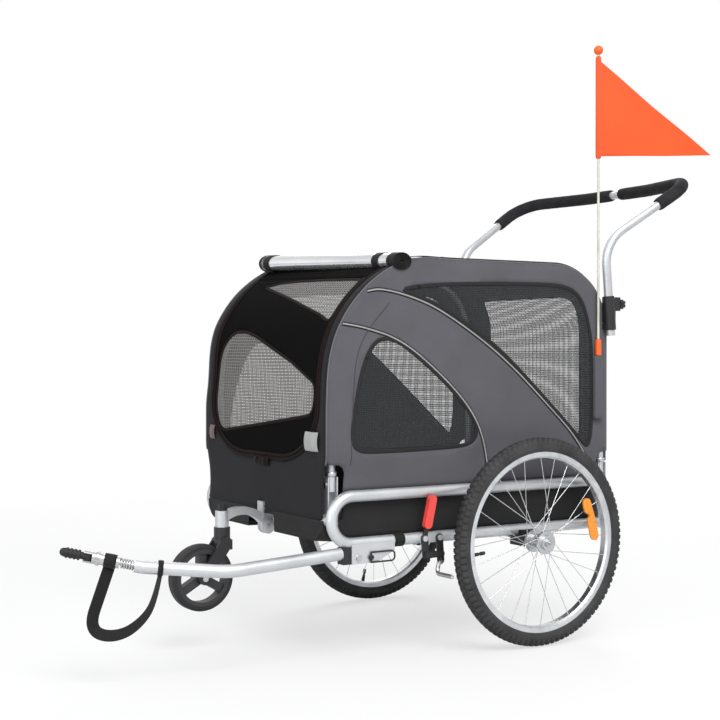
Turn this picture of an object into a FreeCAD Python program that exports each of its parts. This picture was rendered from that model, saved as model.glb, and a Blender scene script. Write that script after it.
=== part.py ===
"""Dog bike trailer with a stroller caster, tow arm, push handle and safety flag.

Millimetres, +Z up, the ground at z = 0.  The trailer travels along -Y and +X is its left side.
Places along Y are measured from the wheel axle here, and the export moves the whole part so that
its box is centred on the origin.
"""
import FreeCAD, Part
import math
import os
from FreeCAD import Vector

# Clearances and the one overrun of all cuts
GAP = 0.3
RUN = 0.05
OVERRUN = 40

# Rear wheels, 20 inch
TYRE_RADIUS = 245
TYRE_HALF = 22
TYRE_WALL = 4
TRACK_HALF = 365
RIM_EDGE_RADIUS = 212
RIM_WELL_DEPTH = 9
RIM_SHOULDER_DEPTH = 11
RIM_DEPTH = 15
RIM_HALF = 13
RIM_SPINE_HALF = 8
RIM_WALL = 2
BEAD_GAP = 0.2
BEAD_WIDTH = 4
SPOKE_COUNT = 28
SPOKE_RADIUS = 0.9
SPOKE_HUB_SPLIT = 1.8
SPOKE_RIM_SPLIT = 0.6
SPOKE_LACE_DEG = 52
HUB_HALF = 32
HUB_RADIUS = 17
HUB_BORE_RADIUS = 9
FLANGE_RADIUS = 27
FLANGE_THICK = 6
FLANGE_OFFSET = 21
BEARING_RADIUS = 14
BEARING_WIDTH = 8
AXLE_RADIUS = 6.35
AXLE_HEAD_RADIUS = 10
AXLE_HEAD_THICK = 6
AXLE_BUTTON_RADIUS = 4.5
AXLE_BUTTON_PROUD = 4
AXLE_BUTTON_TRAVEL = 3
AXLE_BUTTON_LENGTH = 14
# Tyre outline from the rim edge to the crown: share of height, share of half width
TYRE_SECTION_SHARES = ((0.0, 0.48), (0.2, 0.84), (0.5, 1.0), (0.78, 0.85), (0.95, 0.44), (1.0, 0.0))

# Base frame
RAIL_INSET = 65
RAIL_X = TRACK_HALF - RAIL_INSET
RAIL_RADIUS = 13
RAIL_WALL = 1.5
RAIL_RISE = 104
RAIL_FRONT_Y = -531
RAIL_REAR_Y = 283
UPPER_RAIL_REAR_Y = 245
CROSS_RADIUS = 11
CROSS_YS = (-300, -36, 264)
AXLE_BRACKET_HALF = 22
AXLE_BRACKET_DEPTH = 14
AXLE_BRACKET_IN = 20
AXLE_TUBE_RADIUS = 10

# Fabric cabin
FABRIC = 2
CABIN_REAR_Y = 276
CABIN_TOP_Z = 905
CABIN_FRONT_RADIUS = 293
CABIN_REAR_RADIUS = 165
FRONT_SWELL_Z = 430
ROOF_FRONT_Y = -300
SIDE_LAP_Z = 380
SIDE_LAP = 12
HINGE_WINDOW_RADIUS = 25
HINGE_WINDOW_Z = 418
TUB_NOTCH_Z = 300
DOOR_INSET = 40.7
DOOR_BOTTOM_Z = 450
DOOR_CORNER = 130
DOOR_TOP_Z = 852
FLOOR_BOARD = 5
FLOOR_SIDE_GAP = 4
FLOOR_FRONT_GAP = 48
FLOOR_REAR_GAP = 26
MAT_THICK = 22
MAT_INSET = 16
MAT_CORNER = 60
MAT_EDGE = 9
MAT_CROWN = 5

# Hoops and their hinges
HOOP_RADIUS = 9.5
HOOP_WALL = 1.5
HOOP_TAIL_Z = 383
HINGE_PIN_Z = 399
HINGE_PIN_RADIUS = 3
HINGE_PIN_HEAD = 5
HINGE_PIN_HEAD_THICK = 3
HINGE_EAR = 2.5
HINGE_SIDE_GAP = 0.5
HINGE_WEB = 3
HINGE_TOP_Z = 415
HINGE_FOOT_Z = 300

# Rolled weather cover on the roof front
ROLL_RADIUS = 22
ROLL_INSET = 1.7
ROLL_Y = -365
ROLL_BORE_SHARE = 0.2

# Tow arm and its bracket under the left rail
TOW_TUBE_RADIUS = 14
TOW_TUBE_WALL = 2
TOW_PIVOT_Y = -470
TOW_PIVOT_Z = 237
TOW_BOLT_RADIUS = 4
TOW_BOLT_HEAD = 7
TOW_BOLT_HEAD_THICK = 4
TOW_PLATE = 3
TOW_PLATE_FRONT_Y = -488
TOW_PLATE_REAR_Y = -376
TOW_PLATE_BOTTOM_Z = 224
TOW_PLATE_TAIL_Z = 248
TOW_PLATE_TAPER_Y = -425
TOW_WEB = 3
TOW_PLUG_FRONT_Y = -508
TOW_PLUG_HALF_HEIGHT = 13
TOW_PLUG_SPIGOT = 30
TOW_LOCK_Y = -440
TOW_LOCK_RADIUS = 3.5
TOW_LOCK_HEAD = 6
TOW_LOCK_HEAD_THICK = 5
TOW_LOCK_TAIL = 8
LOCK_LOOP_RADIUS = 2
LOCK_LOOP_LENGTH = 62
LOCK_LOOP_HEIGHT = 22
LOCK_LOOP_CORNER = 9
# Bends of the arm tube: x, y, z of the tube's centre line
TOW_NECK_IN = 66
TOW_AIM_IN = 122
TOW_START = (RAIL_X, -503, 247)
TOW_BEND = (RAIL_X, -781, 231)
TOW_NECK = (RAIL_X - TOW_NECK_IN, -945, 246)
TOW_AIM = (RAIL_X - TOW_AIM_IN, -1056, 272)
TOW_BEND_RADIUS = 150
TOW_END_RUN = 16

# Hitch, lengths along its own axis
SPRING_LENGTH = 32
SPRING_RADIUS = 9
SPRING_WIRE = 2
SPRING_TURNS = 5
SPRING_END_GAP = 0.1
HITCH_ROD_RADIUS = 5
SLEEVE_LENGTH = 48
SLEEVE_RADIUS = 12.5
SLEEVE_LIP = 15
SLEEVE_LIP_LENGTH = 6
CLEVIS_LENGTH = 26
CLEVIS_RADIUS = 13
CLEVIS_CHEEK = 5
CLEVIS_BACK = 8
COUPLER_LENGTH = 60
COUPLER_RADIUS = 11
COUPLER_TONGUE = 15
COUPLER_PIN_RADIUS = 3
COUPLER_BALL_RADIUS = 9
COUPLER_HITCH_RADIUS = 4
COUPLER_RIB_COUNT = 4
COUPLER_RIB = 1.5
COUPLER_RIB_WIDTH = 4

# Safety strap: places along and below the hitch, chosen by hand along the hanging loop
STRAP_WIDTH = 25
STRAP_THICK = 2
STRAP_SAMPLES = 60
STRAP_ROUTE = ((0, 247), (-22, 180), (-36, 138), (-28, 112), (3, 103), (42, 113), (80, 148), (96, 190),
               (104, 228))
STRAP_START_IN = 97
STRAP_END_IN = 52
STRAP_START = (RAIL_X - STRAP_START_IN, -1006)
STRAP_END = (RAIL_X - STRAP_END_IN, -911)

# Front caster
CASTER_REACH = 118
CASTER_TRAIL = 54
CASTER_AXLE_Z = 171
CASTER_RADIUS = 77
CASTER_TYRE_DEPTH = 12
CASTER_HALF = 15
CASTER_HUB_RADIUS = 15
CASTER_RIM_DEPTH = 9
CASTER_SPOKES = 3
CASTER_SPOKE_WIDTH = 20
CASTER_AXLE_RADIUS = 4
CASTER_AXLE_HEAD = 7
CASTER_AXLE_HEAD_THICK = 3
CASTER_POST_RADIUS = 16
CASTER_POST_LOW_Z = 284
CASTER_POST_TOP_Z = 322
CASTER_STEM_RADIUS = 7
CASTER_COLLAR_RADIUS = 19
CASTER_COLLAR_Z = 262
CASTER_CROWN_Z = 256
CASTER_LEG_THICK = 7
CASTER_LEG_GAP = 2.5
CASTER_LEG_WIDTH = 30
CASTER_KNOB_RADIUS = 12
CASTER_KNOB_HEIGHT = 15
CASTER_KNOB_LOBES = 6
CASTER_KNOB_NOTCH = 3
CASTER_CLAMP_HALF = 14
CASTER_CLAMP_WALL = 5
CASTER_CLAMP_BOTTOM_Z = 298
CASTER_RECESS_HALF = 62
CASTER_RECESS_TOP_Z = 312
CASTER_LUG_HALF = 6
CASTER_PIVOT_Z = 278
CASTER_PIVOT_AHEAD = 2
CASTER_EYE_RADIUS = 17
CASTER_ARM_HALF = 12
CASTER_ARM_RISE_Z = 319
CASTER_ARM_RISE_AHEAD = 65
CASTER_ARM_THICK_HALF = 9
CASTER_PIN_RADIUS = 4
CASTER_PIN_HEAD = 6
CASTER_PIN_HEAD_THICK = 3
CASTER_LOCK_RADIUS = 2
CASTER_LOCK_OFFSET = 10
CASTER_LOCK_RING = 9
CASTER_LOCK_TAIL = 6

# Parking brake on the left lower rail
BRAKE_LEVER_Y = -297
BRAKE_ARM_Y = -256
BRAKE_CRANK = 37
BRAKE_CRANK_LEAN = 4
BRAKE_PLATE = 3
BRAKE_PLATE_BELOW = 9
BRAKE_PLATE_ABOVE = 12
BRAKE_STRAP_HALF = 9
BRAKE_STRAP = 4
BRAKE_STUD_RADIUS = 4
BRAKE_STUD_HEAD = 6.5
BRAKE_STUD_HEAD_THICK = 3
BRAKE_LINK = 3
BRAKE_LEVER_TOP_Z = 356
BRAKE_LEVER_LEAN = 20
BRAKE_GRIP_LOW_Z = 300
BRAKE_GRIP_HALF = 10
BRAKE_GRIP_WALL = 5
BRAKE_ROD_RADIUS = 5
BRAKE_ROD_Y = -262
BRAKE_ROD_Z = 186
BRAKE_ROD_TOP_Z = 222
BRAKE_ROD_BEND = 12
BRAKE_ROD_PAST = 13
BRAKE_ARM_FOOT_Z = 216

# Push handle
HANDLE_RADIUS = 11
HANDLE_WALL = 1.5
HANDLE_FOOT_DROP = 173
HANDLE_FOOT_Y = 278
HANDLE_ELBOW_Y = 259
HANDLE_ELBOW_RISE = 233
HANDLE_CORNER_OUT = 42
HANDLE_CORNER_Y = 515
HANDLE_CORNER_RISE = 396
HANDLE_BOW_X = 120
HANDLE_BOW_Y = 575
HANDLE_BOW_RISE = 399
HANDLE_ELBOW_RADIUS = 95
HANDLE_CORNER_RADIUS = 80
HANDLE_BOW_RADIUS = 200
GRIP_RADIUS = 16.5
GRIP_MIDDLE_GAP = 18
GRIP_LEG_SHARE = 0.6
CLAMP_RADIUS = 14
CLAMP_ABOVE_FOOT = 14
CLAMP_HEIGHT = 84
CLAMP_PAD_WIDTH = 30
CLAMP_EAR = 12
CLAMP_EAR_HALF = 8
CLAMP_EAR_HEIGHT = 34
CLAMP_BOLT_RADIUS = 3
CLAMP_BOLT_DEPTH = 2.5
CLAMP_BOLT_SHARES = (0.2, 0.8)
KNOB_RADIUS = 12
KNOB_LENGTH = 14
KNOB_STEM_RADIUS = 3
KNOB_STEM = 8
KNOB_LOBES = 6
KNOB_NOTCH = 3

# Safety flag in a pocket on the left rear corner
FLAG_Y = 241
FLAG_POLE_RADIUS = 3
FLAG_FOOT_Z = 541
FLAG_TOP_Z = 1440
FLAG_BALL_RADIUS = 11
FLAG_TIP_DROP = 12
FLAG_HEIGHT = 251
FLAG_LENGTH = 298
FLAG_YAW_DEG = 21
FLAG_THICK = 1.2
FLAG_SLEEVE_RADIUS = 5
FLAG_FERRULE_RADIUS = 6
FLAG_FERRULE_LOW_Z = 683
FLAG_FERRULE_TOP_Z = 716
POCKET_HALF = 14
POCKET_DEPTH = 18.6
POCKET_LOW_Z = 526
POCKET_TOP_Z = 682

# Derived places
AXLE_Z = TYRE_RADIUS
LOWER_RAIL_Z = AXLE_Z + AXLE_TUBE_RADIUS + RAIL_RADIUS
UPPER_RAIL_Z = LOWER_RAIL_Z + RAIL_RISE
FRONT_TUBE_Z = LOWER_RAIL_Z + RAIL_RISE / 2
RIM_WELL_RADIUS = RIM_EDGE_RADIUS - RIM_WELL_DEPTH
RIM_SHOULDER_RADIUS = RIM_EDGE_RADIUS - RIM_SHOULDER_DEPTH
RIM_INNER_RADIUS = RIM_EDGE_RADIUS - RIM_DEPTH
CABIN_FRONT_Y = RAIL_FRONT_Y
CASTER_STEM_Y = RAIL_FRONT_Y - CASTER_REACH
CASTER_AXLE_Y = CASTER_STEM_Y - CASTER_TRAIL
CASTER_PIVOT_DROP_Y = RAIL_FRONT_Y - CASTER_PIVOT_AHEAD
CASTER_ARM_RISE_Y = RAIL_FRONT_Y - CASTER_ARM_RISE_AHEAD
RAIL_IN_X = RAIL_X - RAIL_RADIUS
RAIL_OUT_X = RAIL_X + RAIL_RADIUS
TUB_HALF = RAIL_IN_X - GAP
SIDE_HALF = TUB_HALF + FABRIC
HOOP_INSET = FABRIC + GAP + HOOP_RADIUS
HOOP_X = TUB_HALF - GAP - HOOP_RADIUS
HOOP_FRONT_Y = CABIN_FRONT_Y + HOOP_INSET
HOOP_REAR_Y = CABIN_REAR_Y - HOOP_INSET
HOOP_TOP_Z = CABIN_TOP_Z - HOOP_INSET
NOSE_Y = RAIL_FRONT_Y - RAIL_RADIUS - GAP - FABRIC
FRONT_ARC_Y = CABIN_FRONT_Y + CABIN_FRONT_RADIUS
FRONT_ARC_Z = CABIN_TOP_Z - CABIN_FRONT_RADIUS
REAR_ARC_Y = CABIN_REAR_Y - CABIN_REAR_RADIUS
REAR_ARC_Z = CABIN_TOP_Z - CABIN_REAR_RADIUS
CROSS_Z = LOWER_RAIL_Z - RAIL_RADIUS / 2
TUB_LOW_Z = CROSS_Z + CROSS_RADIUS
FLOOR_Z = TUB_LOW_Z + FABRIC
MAT_Z = FLOOR_Z + FLOOR_BOARD
BRACKET_OUT_X = TRACK_HALF - HUB_HALF - GAP
HANDLE_X = SIDE_HALF + GAP + CLAMP_RADIUS
HANDLE_FOOT_Z = CABIN_TOP_Z - HANDLE_FOOT_DROP
CLAMP_LOW_Z = HANDLE_FOOT_Z + CLAMP_ABOVE_FOOT
CLAMP_TOP_Z = CLAMP_LOW_Z + CLAMP_HEIGHT
DOOR_HALF = TUB_HALF - DOOR_INSET
ROLL_HALF = TUB_HALF - ROLL_INSET
FLAG_X = SIDE_HALF + POCKET_DEPTH / 2
FLAG_HIGH_Z = FLAG_TOP_Z - FLAG_TIP_DROP
FLAG_LOW_Z = FLAG_HIGH_Z - FLAG_HEIGHT


def vec(x, y, z):
    """A point or direction."""
    return Vector(x, y, z)


def box(x_span, y_span, z_span):
    """A block between the low and high ends of three spans."""
    size = [span[1] - span[0] for span in (x_span, y_span, z_span)]
    return Part.makeBox(*size, vec(x_span[0], y_span[0], z_span[0]))


def rod(start, end, radius):
    """A round bar between two points."""
    axis = end - start
    return Part.makeCylinder(radius, axis.Length, start, axis)


def pipe(start, end, outer, inner):
    """A straight tube between two points."""
    axis = end - start
    axis.normalize()
    bore = rod(start - axis * OVERRUN, end + axis * OVERRUN, inner)
    return rod(start, end, outer).cut(bore)


def rounded_wire(points, radii):
    """Straight runs through the points, with a tangent arc of the given radius at each inner point."""
    edges = []
    here = points[0]
    for before, corner, after, radius in zip(points, points[1:], points[2:], radii):
        to_before = (before - corner).normalize()
        to_after = (after - corner).normalize()
        half = to_before.getAngle(to_after) / 2
        middle = (to_before + to_after).normalize()
        run = radius / math.tan(half)
        centre = corner + middle * (radius / math.sin(half))
        edges.append(Part.makeLine(here, corner + to_before * run))
        here = corner + to_after * run
        edges.append(Part.Arc(corner + to_before * run, centre - middle * radius, here).toShape())
    edges.append(Part.makeLine(here, points[-1]))
    return Part.Wire(edges)


def round_sweep(wire, radius):
    """A solid of round section along a smooth wire."""
    first = wire.Edges[0]
    start = first.valueAt(first.FirstParameter)
    direction = first.tangentAt(first.FirstParameter)
    section = Part.Wire(Part.makeCircle(radius, start, direction))
    return wire.makePipeShell([section], True, False)


def bent_tube(points, radii, outer, wall):
    """A hollow tube along rounded runs."""
    wire = rounded_wire(points, radii)
    return round_sweep(wire, outer).cut(round_sweep(wire, outer - wall))


def polygon(points):
    """A flat face through the points."""
    return Part.Face(Part.makePolygon(list(points) + [points[0]]))


def side_plate(outline, x_span):
    """A plate whose outline is given as y, z pairs, between two places along X."""
    face = polygon([vec(x_span[0], y, z) for y, z in outline])
    return face.extrude(vec(x_span[1] - x_span[0], 0, 0))


def strap_plate(ends, half_width, x_span):
    """A round-ended flat bar between two y, z places."""
    (y0, z0), (y1, z1) = ends
    thick = x_span[1] - x_span[0]
    run = vec(0, y1 - y0, z1 - z0)
    across = run.cross(vec(1, 0, 0)).normalize() * half_width
    low, high = vec(x_span[0], y0, z0), vec(x_span[0], y1, z1)
    bar = polygon([low - across, high - across, high + across, low + across]).extrude(vec(thick, 0, 0))
    for end in (low, high):
        bar = bar.fuse(Part.makeCylinder(half_width, thick, end, vec(1, 0, 0)))
    return bar.removeSplitter()


def x_rod(x_span, y, z, radius):
    """A round bar along X."""
    return rod(vec(x_span[0], y, z), vec(x_span[1], y, z), radius)


def mirrored(shape):
    """The same piece on the other side of the trailer."""
    return shape.mirror(vec(0, 0, 0), vec(1, 0, 0))


def both_sides(shape):
    """One group of the left piece and its mirror image."""
    return Part.makeCompound([shape, mirrored(shape)])


def pair(name, shape):
    """Separate left and right pieces."""
    return {"left_" + name: shape, "right_" + name: mirrored(shape)}


def turned(profile, x_centre):
    """A ring turned about the wheel axle from radius, offset pairs."""
    face = polygon([vec(x_centre + offset, 0, AXLE_Z + radius) for radius, offset in profile])
    return face.revolve(vec(0, 0, AXLE_Z), vec(1, 0, 0), 360)


def lobed_knob(base, axis, radius, length, lobes, notch):
    """A hand knob: a round bar with notches round its rim."""
    knob = rod(base, base + axis * length, radius)
    side = axis.cross(vec(0, 0, 1) if abs(axis.z) < abs(axis.x) + abs(axis.y) else vec(1, 0, 0))
    side.normalize()
    other = axis.cross(side)
    for index in range(lobes):
        angle = 2 * math.pi * index / lobes
        place = base + (side * math.cos(angle) + other * math.sin(angle)) * radius
        knob = knob.cut(rod(place - axis * OVERRUN, place + axis * OVERRUN, notch))
    return knob


def tyre_line(inset, z_low):
    """Points of the tyre's section from one bead over the crown to the other, drawn in by an inset."""
    rise = TYRE_RADIUS - inset - z_low
    half = TYRE_HALF - inset
    right = [(z_low + share * rise, half * width) for share, width in TYRE_SECTION_SHARES]
    left = [(radius, -offset) for radius, offset in reversed(right[:-1])]
    return right + left


def tyre():
    """A hollow casing: an outer and an inner curve joined at the two beads."""
    def curve(points):
        spline = Part.BSplineCurve()
        spline.interpolate([vec(TRACK_HALF + offset, 0, AXLE_Z + radius) for radius, offset in points])
        return spline.toShape()

    bead_z = AXLE_Z + RIM_WELL_RADIUS + BEAD_GAP
    outside = curve(tyre_line(0, RIM_EDGE_RADIUS + BEAD_GAP))
    inside = curve(tyre_line(TYRE_WALL, RIM_EDGE_RADIUS + BEAD_GAP))
    edges = [outside]
    bead_out = RIM_HALF - RIM_WALL - BEAD_GAP
    for side, first, second in ((-1, outside.Vertexes[1], inside.Vertexes[1]),
                                (1, inside.Vertexes[0], outside.Vertexes[0])):
        feet = [vec(TRACK_HALF + side * x, 0, bead_z) for x in (bead_out, bead_out - BEAD_WIDTH)]
        feet = feet if side < 0 else feet[::-1]
        line = [first.Point] + feet + [second.Point]
        links = [Part.makeLine(start, end) for start, end in zip(line, line[1:])]
        edges = edges + links + ([inside] if side < 0 else [])
    section = Part.Face(Part.Wire(Part.__sortEdges__(edges)))
    return section.revolve(vec(0, 0, AXLE_Z), vec(1, 0, 0), 360)


def rim():
    """A channel section with a narrow spine inside and a well for the tyre."""
    half = [(RIM_INNER_RADIUS, RIM_SPINE_HALF), (RIM_SHOULDER_RADIUS, RIM_HALF), (RIM_EDGE_RADIUS, RIM_HALF),
            (RIM_EDGE_RADIUS, RIM_HALF - RIM_WALL), (RIM_WELL_RADIUS, RIM_HALF - RIM_WALL)]
    return turned(half + [(radius, -offset) for radius, offset in reversed(half)], TRACK_HALF)


def spokes():
    """Crossed spokes from both hub flanges to the rim, trimmed by the flange edge and the rim."""
    ring = x_rod((TRACK_HALF - HUB_HALF, TRACK_HALF + HUB_HALF), 0, AXLE_Z, RIM_INNER_RADIUS)
    ring = ring.cut(x_rod((0, TRACK_HALF + OVERRUN), 0, AXLE_Z, FLANGE_RADIUS))
    bars = []
    for index in range(SPOKE_COUNT):
        side = 1 if index % 2 else -1
        lead = 1 if index // 2 % 2 else -1
        rim_angle = 2 * math.pi * index / SPOKE_COUNT
        hub_angle = rim_angle - lead * math.radians(SPOKE_LACE_DEG)
        inner, outer = FLANGE_RADIUS - FLANGE_THICK, RIM_INNER_RADIUS + RIM_HALF
        start = vec(TRACK_HALF + side * FLANGE_OFFSET + lead * SPOKE_HUB_SPLIT,
                    inner * math.cos(hub_angle), AXLE_Z + inner * math.sin(hub_angle))
        end = vec(TRACK_HALF + lead * SPOKE_RIM_SPLIT,
                  outer * math.cos(rim_angle), AXLE_Z + outer * math.sin(rim_angle))
        bars.append(rod(start, end, SPOKE_RADIUS).common(ring).Solids[0])
    return Part.makeCompound(bars)


def hub():
    """A hub shell with two flanges, and its two bearings as separate solids."""
    ends = (TRACK_HALF - HUB_HALF, TRACK_HALF + HUB_HALF)
    shell = x_rod(ends, 0, AXLE_Z, HUB_RADIUS)
    bearings = []
    for side in (-1, 1):
        flange_x = TRACK_HALF + side * FLANGE_OFFSET
        flange = (flange_x - FLANGE_THICK / 2, flange_x + FLANGE_THICK / 2)
        shell = shell.fuse(x_rod(flange, 0, AXLE_Z, FLANGE_RADIUS))
        end_x = TRACK_HALF + side * HUB_HALF
        seat = sorted((end_x, end_x - side * BEARING_WIDTH))
        shell = shell.cut(x_rod(seat, 0, AXLE_Z, BEARING_RADIUS))
        race = x_rod(seat, 0, AXLE_Z, BEARING_RADIUS)
        bearings.append(race.cut(x_rod((0, TRACK_HALF + OVERRUN), 0, AXLE_Z, AXLE_RADIUS + RUN)))
    shell = shell.cut(x_rod((0, TRACK_HALF + OVERRUN), 0, AXLE_Z, HUB_BORE_RADIUS))
    return Part.makeCompound([shell.removeSplitter()] + bearings)


def wheel_axle():
    """A plug-in axle: a pin and an outer head, bored for its release button."""
    head_x = TRACK_HALF + HUB_HALF + GAP
    face_x = head_x + AXLE_HEAD_THICK
    pin = x_rod((RAIL_X - AXLE_BRACKET_IN, head_x), 0, AXLE_Z, AXLE_RADIUS)
    pin = pin.fuse(x_rod((head_x, face_x), 0, AXLE_Z, AXLE_HEAD_RADIUS))
    floor_x = face_x + AXLE_BUTTON_PROUD - AXLE_BUTTON_LENGTH - AXLE_BUTTON_TRAVEL - GAP
    return pin.cut(x_rod((floor_x, face_x + OVERRUN), 0, AXLE_Z, AXLE_BUTTON_RADIUS + RUN))


def axle_button():
    """The push button that frees the axle from its bracket."""
    end_x = TRACK_HALF + HUB_HALF + GAP + AXLE_HEAD_THICK + AXLE_BUTTON_PROUD
    return x_rod((end_x - AXLE_BUTTON_LENGTH, end_x), 0, AXLE_Z, AXLE_BUTTON_RADIUS)


def rail_points():
    """The left rail's corners: lower rail, front bend and upper rail."""
    return [vec(RAIL_X, RAIL_REAR_Y, LOWER_RAIL_Z), vec(RAIL_X, RAIL_FRONT_Y, LOWER_RAIL_Z),
            vec(RAIL_X, RAIL_FRONT_Y, UPPER_RAIL_Z), vec(RAIL_X, UPPER_RAIL_REAR_Y, UPPER_RAIL_Z)]


def side_rail():
    """One tube: a lower rail, a half-round front bend and an upper rail."""
    bend = RAIL_RISE / 2 - RUN
    return bent_tube(rail_points(), (bend, bend), RAIL_RADIUS, RAIL_WALL)


def solid_rails():
    """Both side rails without their bores, for trimming what is welded to them."""
    bend = RAIL_RISE / 2 - RUN
    return both_sides(round_sweep(rounded_wire(rail_points(), (bend, bend)), RAIL_RADIUS))


def cross_tubes(rails):
    """The front tube between the two bends and three floor tubes between the lower rails."""
    front = pipe(vec(-RAIL_X, RAIL_FRONT_Y, FRONT_TUBE_Z), vec(RAIL_X, RAIL_FRONT_Y, FRONT_TUBE_Z),
                 RAIL_RADIUS, RAIL_RADIUS - RAIL_WALL)
    tubes = [front]
    for y in CROSS_YS:
        start, end = vec(-RAIL_X, y, CROSS_Z), vec(RAIL_X, y, CROSS_Z)
        tubes.append(pipe(start, end, CROSS_RADIUS, CROSS_RADIUS - RAIL_WALL))
    middle = [max(tube.cut(rails).Solids, key=lambda solid: solid.Volume) for tube in tubes]
    return Part.makeCompound(middle)


def axle_bracket(rails):
    """A block welded under the lower rail that takes the plug-in axle."""
    block = box((RAIL_X - AXLE_BRACKET_IN, BRACKET_OUT_X), (-AXLE_BRACKET_HALF, AXLE_BRACKET_HALF),
                (AXLE_Z - AXLE_BRACKET_DEPTH, LOWER_RAIL_Z))
    block = block.cut(rails)
    block = max(block.Solids, key=lambda solid: solid.BoundBox.ZLength)
    slope = box((RAIL_OUT_X, BRACKET_OUT_X + OVERRUN), (-AXLE_BRACKET_HALF, AXLE_BRACKET_HALF),
                (AXLE_Z + AXLE_TUBE_RADIUS, LOWER_RAIL_Z + OVERRUN))
    block = block.cut(slope)
    return block.cut(x_rod((0, TRACK_HALF), 0, AXLE_Z, AXLE_RADIUS))


def cabin_outline(inset):
    """The cabin's side outline as a closed face in the YZ plane, drawn in by an inset."""
    top, front, rear = CABIN_TOP_Z - inset, CABIN_FRONT_Y + inset, CABIN_REAR_Y - inset
    front_radius, rear_radius = CABIN_FRONT_RADIUS - inset, CABIN_REAR_RADIUS - inset
    nose = NOSE_Y + inset
    half = math.sqrt(0.5)

    def arc(centre_y, centre_z, radius, side):
        middle = vec(0, centre_y + side * radius * half, centre_z + radius * half)
        ends = [vec(0, centre_y + side * radius, centre_z), vec(0, centre_y, centre_z + radius)]
        ends = ends if side < 0 else ends[::-1]
        return Part.Arc(ends[0], middle, ends[1]).toShape()

    line = [vec(0, rear, REAR_ARC_Z), vec(0, rear, FRONT_TUBE_Z), vec(0, nose, FRONT_TUBE_Z),
            vec(0, front, FRONT_SWELL_Z), vec(0, front, FRONT_ARC_Z)]
    edges = [Part.makeLine(start, end) for start, end in zip(line, line[1:])]
    edges.append(arc(FRONT_ARC_Y, FRONT_ARC_Z, front_radius, -1))
    edges.append(Part.makeLine(vec(0, FRONT_ARC_Y, top), vec(0, REAR_ARC_Y, top)))
    edges.append(arc(REAR_ARC_Y, REAR_ARC_Z, rear_radius, 1))
    return Part.Face(Part.Wire(edges))


def cabin_band():
    """The front, roof and rear fabric as one band, open at the bottom."""
    wide = vec(2 * TUB_HALF, 0, 0)
    move = vec(-TUB_HALF, 0, 0)
    outside = cabin_outline(0).extrude(wide)
    inside = cabin_outline(FABRIC).extrude(wide)
    outside.translate(move)
    inside.translate(move)
    floor = box((-TUB_HALF, TUB_HALF), (NOSE_Y - OVERRUN, CABIN_REAR_Y + OVERRUN),
                (FRONT_TUBE_Z - OVERRUN, FRONT_TUBE_Z))
    return outside.cut(inside).cut(floor)


def door_prism(inset):
    """The door's front view, straight sides on a rounded foot, run along Y and drawn in by an inset."""
    corner = DOOR_CORNER - inset
    half, low, top = DOOR_HALF - inset, DOOR_BOTTOM_Z + inset, DOOR_TOP_Z - inset
    points = [vec(-half, 0, top), vec(-half, 0, low), vec(half, 0, low), vec(half, 0, top)]
    foot = rounded_wire(points, (corner, corner))
    outline = Part.Wire(foot.Edges + [Part.makeLine(points[-1], points[0])])
    prism = Part.Face(outline).extrude(vec(0, ROOF_FRONT_Y - NOSE_Y + OVERRUN, 0))
    return prism.translated(vec(0, NOSE_Y - OVERRUN, 0))


def clamp_notch():
    """Room for the caster clamp where it comes out through the front fabric."""
    half = CASTER_CLAMP_HALF + GAP
    top = FRONT_TUBE_Z + RAIL_RADIUS + CASTER_CLAMP_WALL + GAP
    ends = (NOSE_Y - OVERRUN, RAIL_FRONT_Y + OVERRUN)
    notch = box((-half, half), ends, (0, top))
    return notch.fuse(box((-CASTER_RECESS_HALF, CASTER_RECESS_HALF), ends, (0, CASTER_RECESS_TOP_Z)))


def hinge_corners(low_y, high_y, low_z):
    """The corner spaces of the four hinges, which the fabric leaves open."""
    inner = HOOP_X - HOOP_RADIUS - HINGE_SIDE_GAP - HINGE_WEB - GAP
    return both_sides(box((inner, RAIL_X), (low_y, high_y), (low_z, HINGE_WINDOW_Z)))


def cover_panels():
    """Front panel, door, and the roof that runs on down the rear."""
    band = cabin_band()
    wide = (-TUB_HALF, TUB_HALF)
    front = band.common(box(wide, (NOSE_Y, ROOF_FRONT_Y), (FRONT_TUBE_Z, CABIN_TOP_Z)))
    roof = band.common(box(wide, (ROOF_FRONT_Y, CABIN_REAR_Y), (SIDE_LAP_Z, CABIN_TOP_Z)))
    open_corners = hinge_corners(NOSE_Y - OVERRUN, CABIN_REAR_Y + OVERRUN, 0)
    roof = roof.cut(open_corners)
    door = front.common(door_prism(GAP))
    front = front.cut(door_prism(0)).cut(clamp_notch()).cut(open_corners)
    return {"front_panel": front, "front_door": door, "roof_panel": roof}


def side_panel():
    """A flat side with arched windows at the foot of each hoop and holes for the clamp bolts."""
    panel = cabin_outline(0).extrude(vec(FABRIC, 0, 0)).translated(vec(TUB_HALF, 0, 0))
    low = box((0, RAIL_X), (NOSE_Y - OVERRUN, CABIN_REAR_Y + OVERRUN), (0, SIDE_LAP_Z))
    panel = panel.cut(low)
    ends = (TUB_HALF - GAP, SIDE_HALF + GAP)
    for y, outward in ((HOOP_FRONT_Y, -1), (HOOP_REAR_Y, 1)):
        panel = panel.cut(x_rod(ends, y, HINGE_WINDOW_Z, HINGE_WINDOW_RADIUS))
        inner = y - outward * HINGE_WINDOW_RADIUS
        span = sorted((inner, y + outward * OVERRUN))
        panel = panel.cut(box(ends, span, (0, HINGE_WINDOW_Z)))
    for z in clamp_bolt_heights():
        panel = panel.cut(x_rod(ends, HOOP_REAR_Y, z, CLAMP_BOLT_RADIUS + RUN))
    return max(panel.Solids, key=lambda solid: solid.Volume)


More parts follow.
